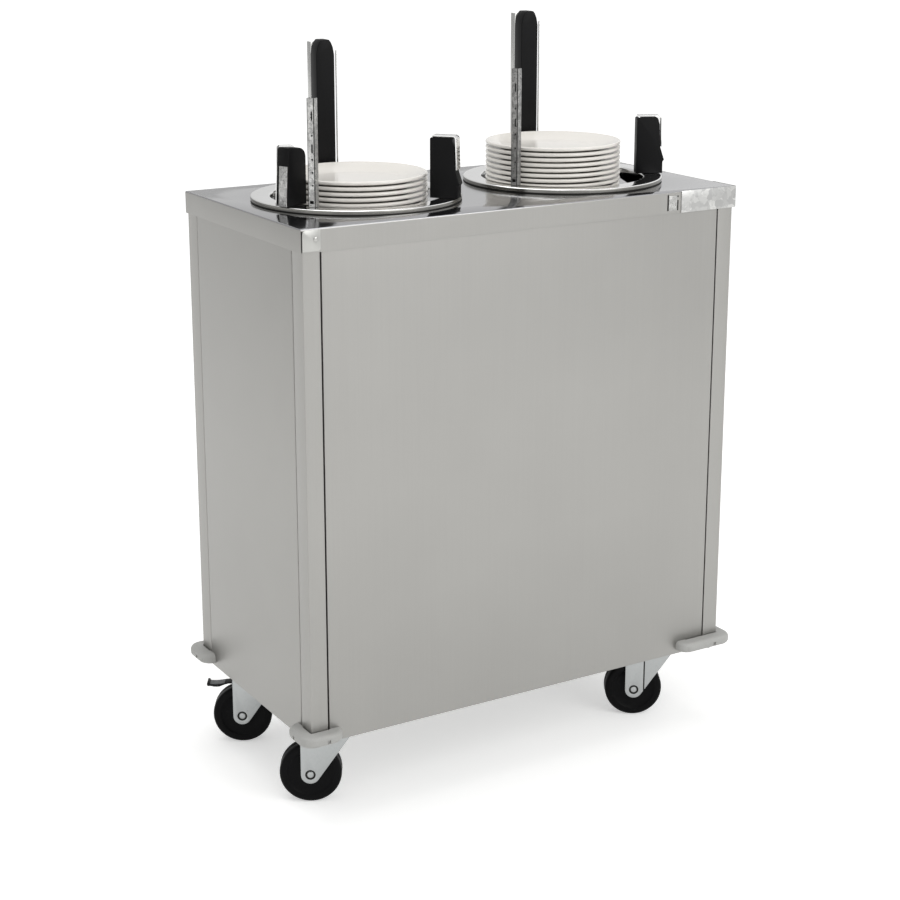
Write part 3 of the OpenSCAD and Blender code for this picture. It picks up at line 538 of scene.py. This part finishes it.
# Rings: a pressed and polished stainless flange round each well, rolled over at its outer edge and
# drawn down into the collar that holds the well's tube
polished_ring = brushed_steel("polished_stainless_rings", "F8F8F7", "EEEEED", 0.10, (0.02, 0.02, 0.02), 0.03)
# The outer sides' darker grey is a painted reflection: it stands in for the darker surround they mirror.
painted_ring_side_reflection = brushed_steel("ring_sides_painted_reflection", "908F8B", "7E7D79", 0.20, (0.03, 0.03, 0.0010), 0.04)
# Near-black painted shade for gaps, seats and creases that lie in shadow.
painted_gap_shade = brushed_steel("near_black_painted_shade", "3A3A37", "2C2C2A", 0.55, (0.01, 0.01, 0.01), 0.05)
ring_out, ring_in, ring_high, ring_deep = 0.170, 0.138, 0.008, 0.025
ring_sheet, roll, throat = 0.0015, 0.0026, 0.004
undercut, seam_high = 0.0012, 0.0018
ring_line = [(ring_in, -ring_deep), (ring_in, ring_high - throat)]
ring_line += arc((ring_in + throat, ring_high - throat), throat, 180, 90, 6)[1:]
ring_line += [((ring_in + ring_out) / 2, ring_high - 0.0003)]
ring_line += arc((ring_out - roll, ring_high - roll), roll, 90, 0, 6)
ring_line += [(ring_out, seam_high), (ring_out - undercut, seam_high - 0.0002), (ring_out - undercut, 0.0),
              (ring_out - undercut - ring_sheet, 0.0), (ring_out - undercut - ring_sheet, seam_high)]
ring_line += arc((ring_out - roll, ring_high - roll), roll - ring_sheet, 0, 90, 3)
ring_line += [((ring_in + ring_out) / 2, ring_high - 0.0003 - ring_sheet)]
ring_line += arc((ring_in + throat, ring_high - throat), throat - ring_sheet, 90, 180, 4)
ring_line += [(ring_in + ring_sheet, -ring_deep), (ring_in, -ring_deep)]
for side, middle in wells.items():
    ring = turned(side + "_ring_flange", ring_line, 160, middle)
    # Painted reflection: the ring's outer sides take the darker grey finish.
    tint(ring, painted_ring_side_reflection, lambda c, n: (c - middle).xy.length > ring_out - 0.0008 and abs(n.z) < 0.6)
    # Painted shade: the undercut under the rolled edge is coloured near black, as the gap there lies in
    # shadow.
    tint(ring, painted_gap_shade, lambda c, n: (c - middle).xy.length > ring_out - undercut - 0.0006
         and c.z < middle.z + seam_high - 0.00005)
    dress(ring, "cabinet", polished_ring, [side + "_ring"])

# Inside of the wells: tubes, frame rings, rods and the sprung carriers, in mill finish sheet,
# drawn rod and acetal. They keep the shapes of the frame and only take their finishes.
mill_sheet = brushed_steel("mill_stainless_inner", "9A9A98", "868684", 0.34, (0.004, 0.004, 0.12))
drawn_rod = brushed_steel("drawn_steel_rods", "B9BCBD", "A6A9AA", 0.28, (0.002, 0.002, 0.05))
spring_wire = brushed_steel("spring_steel_wire", "77777A", "66666A", 0.38, (0.003, 0.003, 0.003))


def moulded(name, light, dark, rough, grain, relief_depth, sheen=0.5):
    """Moulded plastic or rubber: nearly even in colour, with the fine texture of its mould."""
    made, tree, place = new_material(name)
    fine = add(tree, "ShaderNodeTexNoise", {"Vector": place, "Scale": 1 / grain, "Detail": 3.0}).outputs[0]
    cloud = add(tree, "ShaderNodeTexNoise", {"Vector": place, "Scale": 14.0, "Detail": 3.0}).outputs[0]
    both = add(tree, "ShaderNodeMath", {0: fine, 1: cloud}, operation="ADD").outputs[0]
    tone = add(tree, "ShaderNodeMapRange", {"Value": both, "From Min": 0.7, "From Max": 1.3}).outputs[0]
    colour = add(tree, "ShaderNodeMix", {0: tone, 6: linear(dark), 7: linear(light)},
                 data_type="RGBA").outputs[2]
    gloss = add(tree, "ShaderNodeMapRange", {"Value": cloud, "From Min": 0.3, "From Max": 0.7,
                                             "To Min": rough - 0.05, "To Max": rough + 0.05}).outputs[0]
    relief = add(tree, "ShaderNodeBump", {"Height": fine, "Strength": 0.35, "Distance": relief_depth})
    plastic = add(tree, "ShaderNodeBsdfPrincipled", {"Base Color": colour, "Roughness": gloss,
                                                     "Specular IOR Level": sheen,
                                                     "Normal": relief.outputs[0]})
    add(tree, "ShaderNodeOutputMaterial", {"Surface": plastic.outputs[0]})
    return made


acetal = moulded("acetal_bushings", "E6E4DE", "D9D6CF", 0.35, 0.002, 0.0001)


def finish(material, *nodes):
    """Gives nodes of the frame their finish."""
    for node in nodes:
        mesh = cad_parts[node].data
        mesh.materials.clear()
        mesh.materials.append(material)


finish(mill_sheet, "left_tube", "right_tube", "frame_rings", "base_tray", "left_platform",
       "right_platform", "left_spider", "right_spider")
finish(drawn_rod, "guide_rods")
finish(spring_wire, "left_springs", "right_springs")
finish(acetal, "left_bushings", "right_bushings")

# Plates: thick hotel china with a foot ring, a shallow well and a heavy rounded rim, dipped in a
# warm white glaze. The glaze pools a little, so its gloss and tone vary over a hand's width.
glaze, tree, place = new_material("glazed_china")
pool = add(tree, "ShaderNodeTexNoise", {"Vector": place, "Scale": 9.0, "Detail": 3.0}).outputs[0]
speck = add(tree, "ShaderNodeTexNoise", {"Vector": place, "Scale": 900.0, "Detail": 2.0}).outputs[0]
speckle = add(tree, "ShaderNodeMapRange", {"Value": speck, "From Min": 0.68, "From Max": 0.8,
                                           "To Max": 0.35}).outputs[0]
body_tone = add(tree, "ShaderNodeMix", {0: pool, 6: linear("E9E5DE"), 7: linear("F1EEE8")},
                data_type="RGBA").outputs[2]
glaze_tone = add(tree, "ShaderNodeMix", {0: speckle, 6: body_tone, 7: linear("CFC8BC")},
                 data_type="RGBA").outputs[2]
glaze_gloss = add(tree, "ShaderNodeMapRange", {"Value": pool, "To Min": 0.06, "To Max": 0.16}).outputs[0]
ripple = add(tree, "ShaderNodeBump", {"Height": pool, "Strength": 0.1, "Distance": 0.0006})
china = add(tree, "ShaderNodeBsdfPrincipled", {"Base Color": glaze_tone, "Roughness": glaze_gloss,
                                               "Normal": ripple.outputs[0]})
add(tree, "ShaderNodeOutputMaterial", {"Surface": china.outputs[0]})

plate_radius, rim, plate_high = 0.115, 0.006, 0.021
foot_out, foot_wide, foot_high, middle_high = 0.070, 0.006, 0.0034, 0.0086
plate_pitch = 0.00865
slope_foot = foot_out + 0.008
plate_line = [(0.0, foot_high), (foot_out - foot_wide - 0.001, foot_high)]
plate_line += [(foot_out - foot_wide, foot_high - 0.001), (foot_out - foot_wide, 0.0008)]
plate_line += [(foot_out - foot_wide + 0.0008, 0.0), (foot_out - 0.0012, 0.0), (foot_out, 0.0010)]
plate_line += [(foot_out + 0.001, foot_high - 0.0010), (foot_out + 0.003, foot_high - 0.0002)]
plate_line += [(slope_foot + 0.002, foot_high + 0.0006), (plate_radius - rim / 2 - 0.001, plate_high - rim)]
plate_line += arc((plate_radius - rim / 2, plate_high - rim / 2), rim / 2, -90, 118, 11)
plate_line += [(slope_foot + 0.016, middle_high + 0.0052), (slope_foot + 0.008, middle_high + 0.0024)]
plate_line += [(slope_foot + 0.003, middle_high + 0.0008), (slope_foot - 0.003, middle_high)]
plate_line += [(0.0, middle_high)]


for side in wells:
    low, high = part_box(side + "_plates")
    count = round((high.z - low.z - plate_high) / plate_pitch) + 1
    plate = turned(side + "_plate_stack", plate_line, 96, ((low.x + high.x) / 2, 0, low.z))
    more = [copy_piece(plate, "plate", Matrix.Translation((0, 0, i * plate_pitch)))
            for i in range(1, count)]
    dress(join([plate] + more), side + "_stack", glaze, [side + "_plates"], angle=50)

# Tall guides: a black nylon pad with sloped shoulders on a folded steel channel, and a thin wire
# bow beside the pad. Every guide is made with X out from the well's middle, then set in place.
def slab(name, outline, pull):
    """A flat outline, drawn point by point, filled and pulled to its thickness."""
    piece = start_line(name, outline + outline[:1])
    weld()
    bpy.ops.mesh.edge_face_add()
    draw_out(pull)
    close_up(piece)
    return piece


def folded_sheet(name, line, pull, towards, sheet, fold):
    """A strip of sheet: a line of folds, pulled sideways. Its thickness grows towards a direction,
    given at the line's first stretch."""
    pull = Vector(pull)
    piece = start_line(name, line)
    draw_out(pull)
    creases = [Vector(point) + pull / 2 for point in line[1:-1]]
    round_edges(piece, fold, 4, lambda c, d: any((c - spot).length < hair for spot in creases))
    enter("OBJECT")
    start = (Vector(line[0]) + Vector(line[1]) + pull) / 2
    first = min(piece.data.polygons, key=lambda face: (face.center - start).length)
    modify(piece, "SOLIDIFY", thickness=sheet, offset=1 if first.normal.dot(towards) > 0 else -1)
    enter("EDIT")
    close_up(piece)
    return piece


def set_guide(piece, side, turn):
    """Stands a guide's piece on the ring's flat, turned to its place round the well."""
    up = Vector((0, 0, ring_high + 0.0003))
    piece.data.transform(Matrix.Translation(wells[side] + up) @ Matrix.Rotation(radians(turn), 4, "Z"))
    return piece


black_nylon = moulded("black_nylon_pads", "101011", "09090A", 0.42, 0.0011, 0.00008, 0.12)
satin_guides = brushed_steel("satin_steel_guides", "C9C9C7", "B9B9B7", 0.26, (0.0012, 0.0012, 0.03))
tall_turn, tall_in, tall_wide, tall_deep = 85, 0.122, 0.032, 0.026
shoulder_high, shoulder_in = 0.024, 0.009
channel_deep, channel_sheet = 0.014, 0.0015
bow_radius, bow_x, bow_y, bow_short = 0.0013, tall_in + 0.004, tall_wide / 2 + 0.0045, 0.0132

for side in ("left", "right"):
    low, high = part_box(side + "_tall_guide")
    rise = high.z - low.z
    half, slope = tall_wide / 2, shoulder_in
    right_edge = [(half, 0), (half, rise - shoulder_high), (half - slope / 4, rise - shoulder_high / 2),
                  (half - slope * 0.62, rise - shoulder_high / 6), (half - slope, rise)]
    edge = right_edge + [(-y, z) for y, z in reversed(right_edge)]
    pad = slab(side + "_tall_pad", [(tall_in, y, z) for y, z in edge], (tall_deep, 0, 0))
    soften(pad, 0.0014, 3, 25)
    dress(set_guide(pad, side, tall_turn), side + "_tall_slider", black_nylon,
          [side + "_tall_guide"])

    low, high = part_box(side + "_tall_channel")
    rise = high.z - low.z
    near, far = tall_in + tall_deep, tall_in + tall_deep + channel_deep
    channel = folded_sheet(side + "_tall_channel_sheet",
                           [(far, half, 0), (near, half, 0), (near, -half, 0), (far, -half, 0)],
                           (0, 0, rise), (0, -1, 0), channel_sheet, 0.002)
    toe = start_box("toe", (near + channel_sheet, -half + channel_sheet, 0),
                    (far, half - channel_sheet, channel_sheet))
    strip = start_box("strip", (bow_x - bow_radius, -bow_y - bow_radius, 0),
                      (far, channel_sheet - half, channel_sheet))
    bpy.ops.object.select_all(action="DESELECT")
    bpy.ops.mesh.primitive_circle_add(vertices=14, radius=bow_radius, fill_type="NGON",
                                      location=(bow_x, -bow_y, 0))
    bow = bpy.context.object
    bpy.ops.object.transform_apply(location=True)
    enter("EDIT")
    draw_out((0, 0, rise - bow_short))
    close_up(bow)
    soften(bow, bow_radius * 0.6, 3, 50)
    for part in (channel, toe, strip):
        soften(part, 0.0003, 2, 50)
    dress(set_guide(join([channel, toe, strip, bow]), side, tall_turn), side + "_tall_slider",
          satin_guides, [side + "_tall_channel"])

# Rails: narrow channels of galvanised strip, open towards the plates, with the holes and slots of
# their adjusters in the outer face, and a black strip behind them as painted shade in the holes
rail_zinc = galvanised("galvanised_rails", "CFCFCD", "A2A2A1", 0.006, 0.38, 0.85)
dull_zinc = galvanised("galvanised_dull_rail", "ADADAC", "868685", 0.005, 0.45, 0.8)
# Dark zinc used only as painted shade on the rails' flank and fold.
painted_edge_shade = galvanised("galvanised_edges_as_painted_shade", "4C4C4B", "2E2E2D", 0.006, 0.5)
rail_in, rail_deep, rail_wide, rail_sheet = 0.141, 0.011, 0.013, 0.0015
rail_hole, rail_slot, slot_tall, hole_y, drill = 0.0016, 0.0025, 0.014, 0.002, 0.003
foot_slot, foot_slot_low, foot_slot_high = 0.007, 0.005, 0.010
for side, turn, zinc_sheet in (("left", -145, rail_zinc), ("right", -156, dull_zinc)):
    low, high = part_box(side + "_rail")
    rise, half, face = high.z - low.z, rail_wide / 2, rail_in + rail_deep
    rail = folded_sheet(side + "_rail_channel",
                        [(rail_in, -half, 0), (face, -half, 0), (face, half, 0), (rail_in, half, 0)],
                        (0, 0, rise), (0, 1, 0), rail_sheet, 0.0016)
    for share in (0.20, 0.32, 0.44, 0.66):
        cut(rail, start_rod(rail_hole, 2 * drill, (face, hole_y, share * rise), 24, "X"))
    for share in (0.54, 0.84):
        slot = start_box("slot", (face - drill, hole_y - rail_slot / 2, share * rise - slot_tall / 2),
                         (face + drill, hole_y + rail_slot / 2, share * rise + slot_tall / 2))
        round_edges(slot, rail_slot * 0.49, 4, lambda c, d: abs(d.x) > 0.9)
        cut(rail, slot)
    cut(rail, start_box("slot", (face - drill, -foot_slot / 2, foot_slot_low),
                        (face + drill, foot_slot / 2, foot_slot_high)))
    floor_plate = start_box("rail_foot", (rail_in, -half + rail_sheet, 0),
                            (face - rail_sheet, half - rail_sheet, rail_sheet))
    rail = join([rail, floor_plate])
    # Painted shade: the flank on the -Y side and the fold to the +Y flank are dark zinc, as they lie in
    # shadow.
    tint(rail, painted_edge_shade, lambda c, n: c.y < 0.0016 - half or n.x > 0.1 and 0.1 < n.y < 0.97)
    dress(set_guide(rail, side, turn), side + "_rail_slider", zinc_sheet, [side + "_rail"])
    # A black strip inside the channel behind the holes: painted shade, so the holes show dark.
    shade_strip = start_box(side + "_rail_shade_strip", (face - 2 * rail_sheet, rail_sheet + 0.0003 - half, rail_sheet),
                      (face - rail_sheet - 0.0003, half - rail_sheet - 0.0003, rise - 0.001))
    soften(shade_strip, 0.0003, 2)
    dress(set_guide(shade_strip, side, turn), side + "_rail_slider", black_nylon)

# Short guides: deep narrow nylon pads with square shoulders, a chamfer under the top and a clamp
# wedge at the foot, each under a bent strap of bright strip
pad_in, pad_out, pad_wide, pad_round = 0.127, 0.168, 0.020, 0.003
pad_lean, pad_slope, chamfer = 0.0015, 0.0045, 0.012
clamp_foot, clamp_out, clamp_step, clamp_lip, clamp_top = 0.005, 0.0075, 0.0195, 0.023, 0.045
pad_low, pad_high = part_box("left_short_guide")
pad_rise = pad_high.z - pad_low.z
bright_strip = brushed_steel("bright_steel_strips", "F2F2F1", "E6E6E5", 0.14, (0.0012, 0.0012, 0.03))
# A dark grey nylon finish used only as a painted highlight.
nylon_painted_highlight = moulded("nylon_chamfers_painted_highlight", "3E3F40", "303132", 0.40, 0.0011, 0.00008, 0.4)

for side, turn in (("left", -48), ("right", -24)):
    flank = [(pad_in, 0), (pad_out + clamp_foot, 0), (pad_out + clamp_foot, clamp_step),
             (pad_out + clamp_out, clamp_lip), (pad_out + 0.0004, clamp_top),
             (pad_out - pad_lean, pad_rise - chamfer)]
    flank += arc((pad_out - pad_slope - pad_round, pad_rise - pad_round), pad_round, 15, 90, 5)
    flank += arc((pad_in + pad_round, pad_rise - pad_round), pad_round, 90, 180, 5)
    pad = slab(side + "_short_pad", [(x, -pad_wide / 2, z) for x, z in flank], (0, pad_wide, 0))
    soften(pad, 0.0009, 3, 40)
    # Painted highlight: the upper outer face under the top is coloured a lighter grey.
    tint(pad, nylon_painted_highlight, lambda c, n: pad_rise - chamfer < c.z < pad_rise - 0.002 and n.x > 0.9)
    dress(set_guide(pad, side, turn), side + "_short_slider", black_nylon,
          [side + "_short_guide"])
    far, gap, sheet = pad_out - pad_lean, 0.002, 0.0015
    start, low = pad_in + pad_round, clamp_top + 0.0003
    over, out = pad_rise + gap + sheet, gap + sheet
    line = [(pad_out + out, low), (far + out, pad_rise), (far, over), (start, over), (start, pad_rise)]
    strap = folded_sheet(side + "_short_strap_strip", [(x, -pad_wide / 2, z) for x, z in line],
                         (0, pad_wide, 0), (-1, 0, 0), sheet, 0.0012)
    soften(strap, 0.0003, 2, 50)
    dress(set_guide(strap, side, turn), side + "_short_slider", bright_strip,
          [side + "_short_strap"])

# Side guide: a pad that leans a little, its inner shoulder rounded, before a thin steel sheet that
# shows as a rim round it. A scuffed strip stands outside and a clamp knob on a neck at the flank.
side_turn, side_out, side_lean, side_drop, shoulder = -160, 0.171, 0.005, 0.005, 0.015
neck_y, neck_long, knob_radius, knob_deep, knob_up = -pad_wide / 2, 0.005, 0.007, 0.004, 0.019
strip_high, strip_in, strip_sheet = 0.062, 0.003, 0.0015


def side_flank(y, grow=0.0):
    """The flank of the side pad at a depth, grown outwards and upwards."""
    far, top = side_out + grow, pad_rise - side_drop + grow
    flank = [(pad_in, 0), (far, 0)]
    flank += arc((far - side_lean - pad_round, top - pad_round), pad_round, 5, 90, 5)
    flank += arc((pad_in + shoulder, top - shoulder - 0.002), shoulder, 90, 180, 7)
    return [(x, y, z) for x, z in flank]


pad = slab("left_side_pad", side_flank(neck_y), (0, pad_wide, 0))
soften(pad, 0.0012, 3, 40)
knob_x = side_out - side_lean - knob_radius
knob_line = [(0.0, 0.001), (0.0025, 0.001), (0.0025, -neck_long), (knob_radius * 0.9, -neck_long)]
knob_line += [(knob_radius, -neck_long - 0.0008), (knob_radius, -neck_long - 0.0022)]
knob_line += [(knob_radius * 0.86, -neck_long - 0.0034), (knob_radius * 0.5, -neck_long - knob_deep)]
knob = turned("knob", knob_line + [(0.0, -neck_long - knob_deep)], 28, (knob_x, neck_y, knob_up), "Y")
dress(set_guide(join([pad, knob]), "left", side_turn), "left_side_slider",
      black_nylon, ["left_side_guide"])
rim = slab("left_side_sheet", side_flank(neck_y - strip_sheet, 0.0035), (0, strip_sheet, 0))
top_x = side_out - side_lean * strip_high / (pad_rise - side_drop)
parts = [rim]
for low_y, wide, thick in ((strip_in - pad_wide / 2, pad_wide - strip_in, strip_sheet),
                           (pad_wide / 2 - strip_sheet, strip_sheet, 0.0025)):
    outline = [(side_out, low_y, 0), (side_out + thick, low_y, 0),
               (top_x + thick, low_y, strip_high), (top_x, low_y, strip_high)]
    parts.append(slab("strip", outline, (0, wide, 0)))
for part in parts:
    soften(part, 0.0003, 2, 50)
backing = tint(join(parts), rail_zinc, lambda c, n: c.y > neck_y + 0.0005)
dress(set_guide(backing, "left", side_turn), "left_side_slider", bright_strip,
      ["left_side_strap"])

# Bumpers: four soft grey mouldings, one section carried round each corner of the cabinet, with
# quarter-round ends and small square recesses near the lower edge
grey_moulding = moulded("grey_moulded_bumpers", "BABAB7", "AEAEAB", 0.52, 0.0012, 0.00012)
bumper_low, bumper_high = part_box("corner_bumpers")
bumper_out, bumper_round, seam = 0.022, 0.007, 0.0006
short_arm, long_arm, recess = 0.052, 0.090, 0.006
corner_x, corner_y = -bumper_low.x - bumper_out, -bumper_low.y - bumper_out
bumper_tall = bumper_high.z - bumper_low.z


def corner_bumper(name, x_arm):
    """The bumper of the front left corner: its section starts at the end of the side arm."""
    section = [(seam, 0.0), (bumper_out - bumper_round, 0.0)]
    section += arc((bumper_out - bumper_round, bumper_round), bumper_round, -90, 0, 5)[1:]
    section += arc((bumper_out - bumper_round, bumper_tall - bumper_round), bumper_round, 0, 90, 5)
    section += [(seam + 0.0012, bumper_tall), (seam, bumper_tall - 0.0012)]
    x, y, z = -corner_x, -corner_y, bumper_low.z
    arm_y = y + short_arm - bumper_out
    piece = start_line(name, [(x, arm_y + out, z + up) for out, up in section + section[:1]])
    weld()
    for steps, place in ((8, (x, arm_y, z)), (0, (0, y - arm_y, 0)), (12, (x, y, z)),
                         (0, (x_arm - bumper_out, 0, 0)), (8, (x + x_arm - bumper_out, y, z))):
        if steps:
            bpy.ops.mesh.spin(steps=steps, angle=-pi / 2, center=place, axis=(0, 0, 1))
        else:
            draw_out(place, whole=False)
    weld()
    bpy.ops.mesh.fill_holes(sides=0)
    close_up(piece)
    return piece


def recesses(piece, x_arm):
    """Two square recesses in each arm of the front left bumper."""
    x, y, z = -corner_x, -corner_y, bumper_low.z + bumper_round
    for arm, along_x in ((x_arm, True), (short_arm, False)):
        for reach in (0.020, arm - (short_arm - 0.042)):
            middle = (x + reach, y - bumper_out, z) if along_x else (x - bumper_out, y + reach, z)
            cut(piece, start_box("recess", [m - recess / 2 for m in middle],
                                 [m + recess / 2 for m in middle]))


for sx, sy in ((1, 1), (-1, 1), (1, -1), (-1, -1)):
    arm = long_arm if sx * sy < 0 else short_arm
    bumper = corner_bumper("bumper", arm)
    recesses(bumper, arm)
    if (sx, sy) == (1, 1):
        bumpers = bumper
    else:
        other = copy_piece(bumper, "bumper", Matrix.Diagonal((sx, sy, 1, 1)))
        bpy.data.objects.remove(bumper)
        bumpers = join([bumpers, other])
bumpers.name = bumpers.data.name = "corner_bumper_mouldings"
dress(bumpers, "cabinet", grey_moulding, ["corner_bumpers"], angle=40)

# Castors: a fork folded from zinc-plated sheet round a solid black wheel on a riveted axle. Each is
# made with X trailing and Z up from the floor under its swivel axis, then set in place.
zinc_plated = brushed_steel("zinc_plated_castors", "AFB1B1", "A3A6A6", 0.33, (0.004, 0.004, 0.004), 0.06)
black_rubber = moulded("black_wheel_moulding", "0E0E0F", "080809", 0.46, 0.0015, 0.0001, 0.08)
finish(zinc_plated, "castor_plates", "castor_bolts", "bumper_screws")
castor_turn, trail, wheel_radius, wheel_wide = 150, 0.037, 0.051, 0.032
leg_y, leg_sheet, leg_radius, leg_turn = 0.0185, 0.003, 0.0155, 214
crown_z, crown_back, leg_foot, leg_fold = 0.118, 0.028, 0.03, 0.0045
hub_radius, race_radius, race_top = 0.014, 0.027, 0.1315
seat_radius, seat_deep, crease_x, crease_wide = 0.0086, 0.002, 0.019, 0.0024
castors = {"front_left": (-1, -1), "front_right": (1, -1), "back_left": (-1, 1), "back_right": (1, 1)}
plate_half_x, plate_half_y = 0.050, 0.0425
plates_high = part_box("castor_plates")[1]
castor_x, castor_y = plates_high.x - plate_half_x, plates_high.y - plate_half_y


def set_castor(piece, corner, name):
    """A copy of a castor's piece at one corner of the cart."""
    sx, sy = castors[corner]
    place = Matrix.Translation((sx * castor_x, sy * castor_y, 0)) @ Matrix.Rotation(
        radians(castor_turn), 4, "Z")
    return copy_piece(piece, name, place)


wheel_line = [(0.0051, leg_y - 0.001), (hub_radius - 0.001, leg_y - 0.001), (hub_radius, leg_y - 0.002),
              (hub_radius + 0.0005, 0.0142), (0.0175, 0.0132), (0.034, 0.0132), (0.0372, 0.0150),
              (0.0385, 0.0160)]
wheel_line += arc((wheel_radius - 0.006, wheel_wide / 2 - 0.006), 0.006, 90, 0, 6)
half_line = wheel_line + [(wheel_radius, 0.0008), (wheel_radius - 0.0003, 0.0)]
whole_line = half_line + [(r, -y) for r, y in reversed(half_line[:-1])]
axle_place = (trail, 0, wheel_radius)
wheel = turned("wheel", whole_line + whole_line[:1], 96, axle_place, "Y")

leg = [(trail + leg_radius, crown_z + leg_sheet)]
leg += arc((trail, wheel_radius), leg_radius, 0, leg_turn - 360, 14)
leg += [(-crown_back, crown_z), (-crown_back, crown_z + leg_sheet)]


def fork_sheet(name, crease):
    """The folded fork, its legs cut to their outline, with a pressed crease beside the wing if asked.
    The axle's seats and the crease take painted shade: they are coloured near black."""
    out, top, over = leg_y + leg_sheet, crown_z + leg_sheet, 0.001
    back, far = -crown_back - over, trail + leg_radius + over
    fork = folded_sheet(name, [(back, -out, leg_foot), (back, -out, top), (back, out, top),
                               (back, out, leg_foot)], (far - back, 0, 0), (0, 1, 0), leg_sheet, leg_fold)
    tool = slab("outline", [(x, -0.03, z) for x, z in leg], (0, 0.06, 0))
    modify(fork, "BOOLEAN", object=tool, operation="INTERSECT", solver="MANIFOLD")
    bpy.data.objects.remove(tool)
    for y in (-out, out):
        cut(fork, start_rod(seat_radius, 2 * seat_deep, (trail, y, wheel_radius), 40, "Y"))
        if crease:
            cut(fork, start_box("crease", (crease_x - crease_wide / 2, y - seat_deep, leg_foot),
                                (crease_x + crease_wide / 2, y + seat_deep, crown_z - 0.001)))
    soften(fork, 0.0004, 2, 40)
    race_line = [(0.008, crown_z + 0.001), (race_radius - 0.0015, crown_z + 0.001)]
    race_line += [(race_radius, crown_z + 0.004), (race_radius, 0.1275)]
    race_line += arc((race_radius - 0.003, 0.1275), 0.003, 20, 90, 4) + [(0.008, race_top - 0.001)]
    race = turned("race", race_line + race_line[:1], 48)
    # Painted shade on the axle's seats and in the crease.
    return tint(join([fork, race]), painted_gap_shade, lambda c, n:
                out - seat_deep - hair < abs(c.y) < out - 0.0003
                and (hypot(c.x - trail, c.z - wheel_radius) < seat_radius + 0.0002
                     or crease and abs(c.x - crease_x) < crease_wide / 2 + 0.0002 and c.z < crown_z))


plain_fork, stepped_fork = fork_sheet("fork", False), fork_sheet("fork_stepped", True)
axle_line = [(0.0, leg_y + 0.0031), (0.0035, leg_y + 0.0031), (0.0050, leg_y + 0.0028)]
axle_line += [(0.0058, leg_y + 0.0018), (0.0058, leg_y + 0.001), (0.005, leg_y + 0.001)]
axle_line += [(r, -y) for r, y in reversed(axle_line)]
axle = turned("axle", axle_line, 32, axle_place, "Y")
for corner in castors:
    dress(set_castor(wheel, corner, "wheel_moulding_" + corner), "roller_" + corner,
          black_rubber, ["wheel_" + corner], angle=30)
    fork = stepped_fork if corner == "front_right" else plain_fork
    for part, name, node in ((fork, "fork_sheet_", "fork_"), (axle, "axle_rivet_", "axle_")):
        dress(set_castor(part, corner, name + corner), "castor_" + corner, zinc_plated,
              [node + corner])
for piece in (wheel, plain_fork, stepped_fork, axle):
    bpy.data.objects.remove(piece)

# Brake pedals: a narrow black lever with a deep scooped foot and a bead at its tip, and a grey tread
# let into the scoop. The lever turns on a pin through the fork's legs.
pedal_grey = moulded("grey_pedal_treads", "9C9D9E", "86888A", 0.45, 0.0014, 0.0002)
pedal_black = moulded("black_pedal_levers", "111112", "0A0A0B", 0.45, 0.0014, 0.0001, 0.2)
pivot_x, pedal_z, pedal_wide, bead_wide, tread_wide = 0.020, 0.108, 0.020, 0.022, 0.0175
hub_out, pin_radius = 0.0045, 0.003
scoop = [(0.0730, -0.0014), (0.070, -0.0018), (0.063, -0.0021), (0.056, -0.0015), (0.048, -0.0004)]
belly = [(0.0, -0.0015), (0.040, -0.0006), (0.048, -0.0028), (0.056, -0.0062), (0.061, -0.0066),
         (0.066, -0.0064), (0.0705, -0.0053), (0.0730, -0.0050)]
bead_line = [(0.0730, -0.0050), (0.0765, -0.0047), (0.0778, -0.0036), (0.078, -0.0022), (0.078, 0.0002),
             (0.0770, 0.0013), (0.0755, 0.0015), (0.0740, 0.0006), (0.0730, -0.0014)]
tread_line = [(0.047, -0.0006)] + [(x, z - 0.0004) for x, z in reversed(scoop[:-1])]
tread_line += [(x, z + 0.0005) for x, z in scoop]
lever_line = belly + scoop + [(0.040, 0.0006), (0.0, 0.0015)]
hub_line = arc((0, 0), hub_out, 0, 345, 23)
for corner, press in (("front_right", 12), ("back_left", 0)):
    lever, bead, hub, tread = (
        slab(name, [(x, -wide / 2, z) for x, z in line], (0, wide, 0))
        for name, wide, line in (("lever", pedal_wide, lever_line), ("bead", bead_wide, bead_line),
                                 ("hub", pedal_wide, hub_line), ("tread", tread_wide, tread_line)))
    pin = start_rod(pin_radius, 2 * (leg_y + leg_sheet), (0, 0, 0), 24, "Y")
    bpy.ops.object.transform_apply(rotation=True)
    for part in (lever, bead, hub, pin, tread):
        soften(part, 0.0005, 3, 40)
    tilt = Matrix.Translation((pivot_x, 0, pedal_z)) @ Matrix.Rotation(radians(press), 4, "Y")
    whole = join([lever, bead, hub, pin])
    for part, kind, material, nodes in ((whole, "lever_", pedal_black, ["pedal_" + corner]),
                                        (tread, "tread_", pedal_grey, ())):
        part.data.transform(tilt)
        dress(set_castor(part, corner, "pedal_" + kind + corner), "brake_" + corner,
              material, nodes)
        bpy.data.objects.remove(part)

low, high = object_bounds()
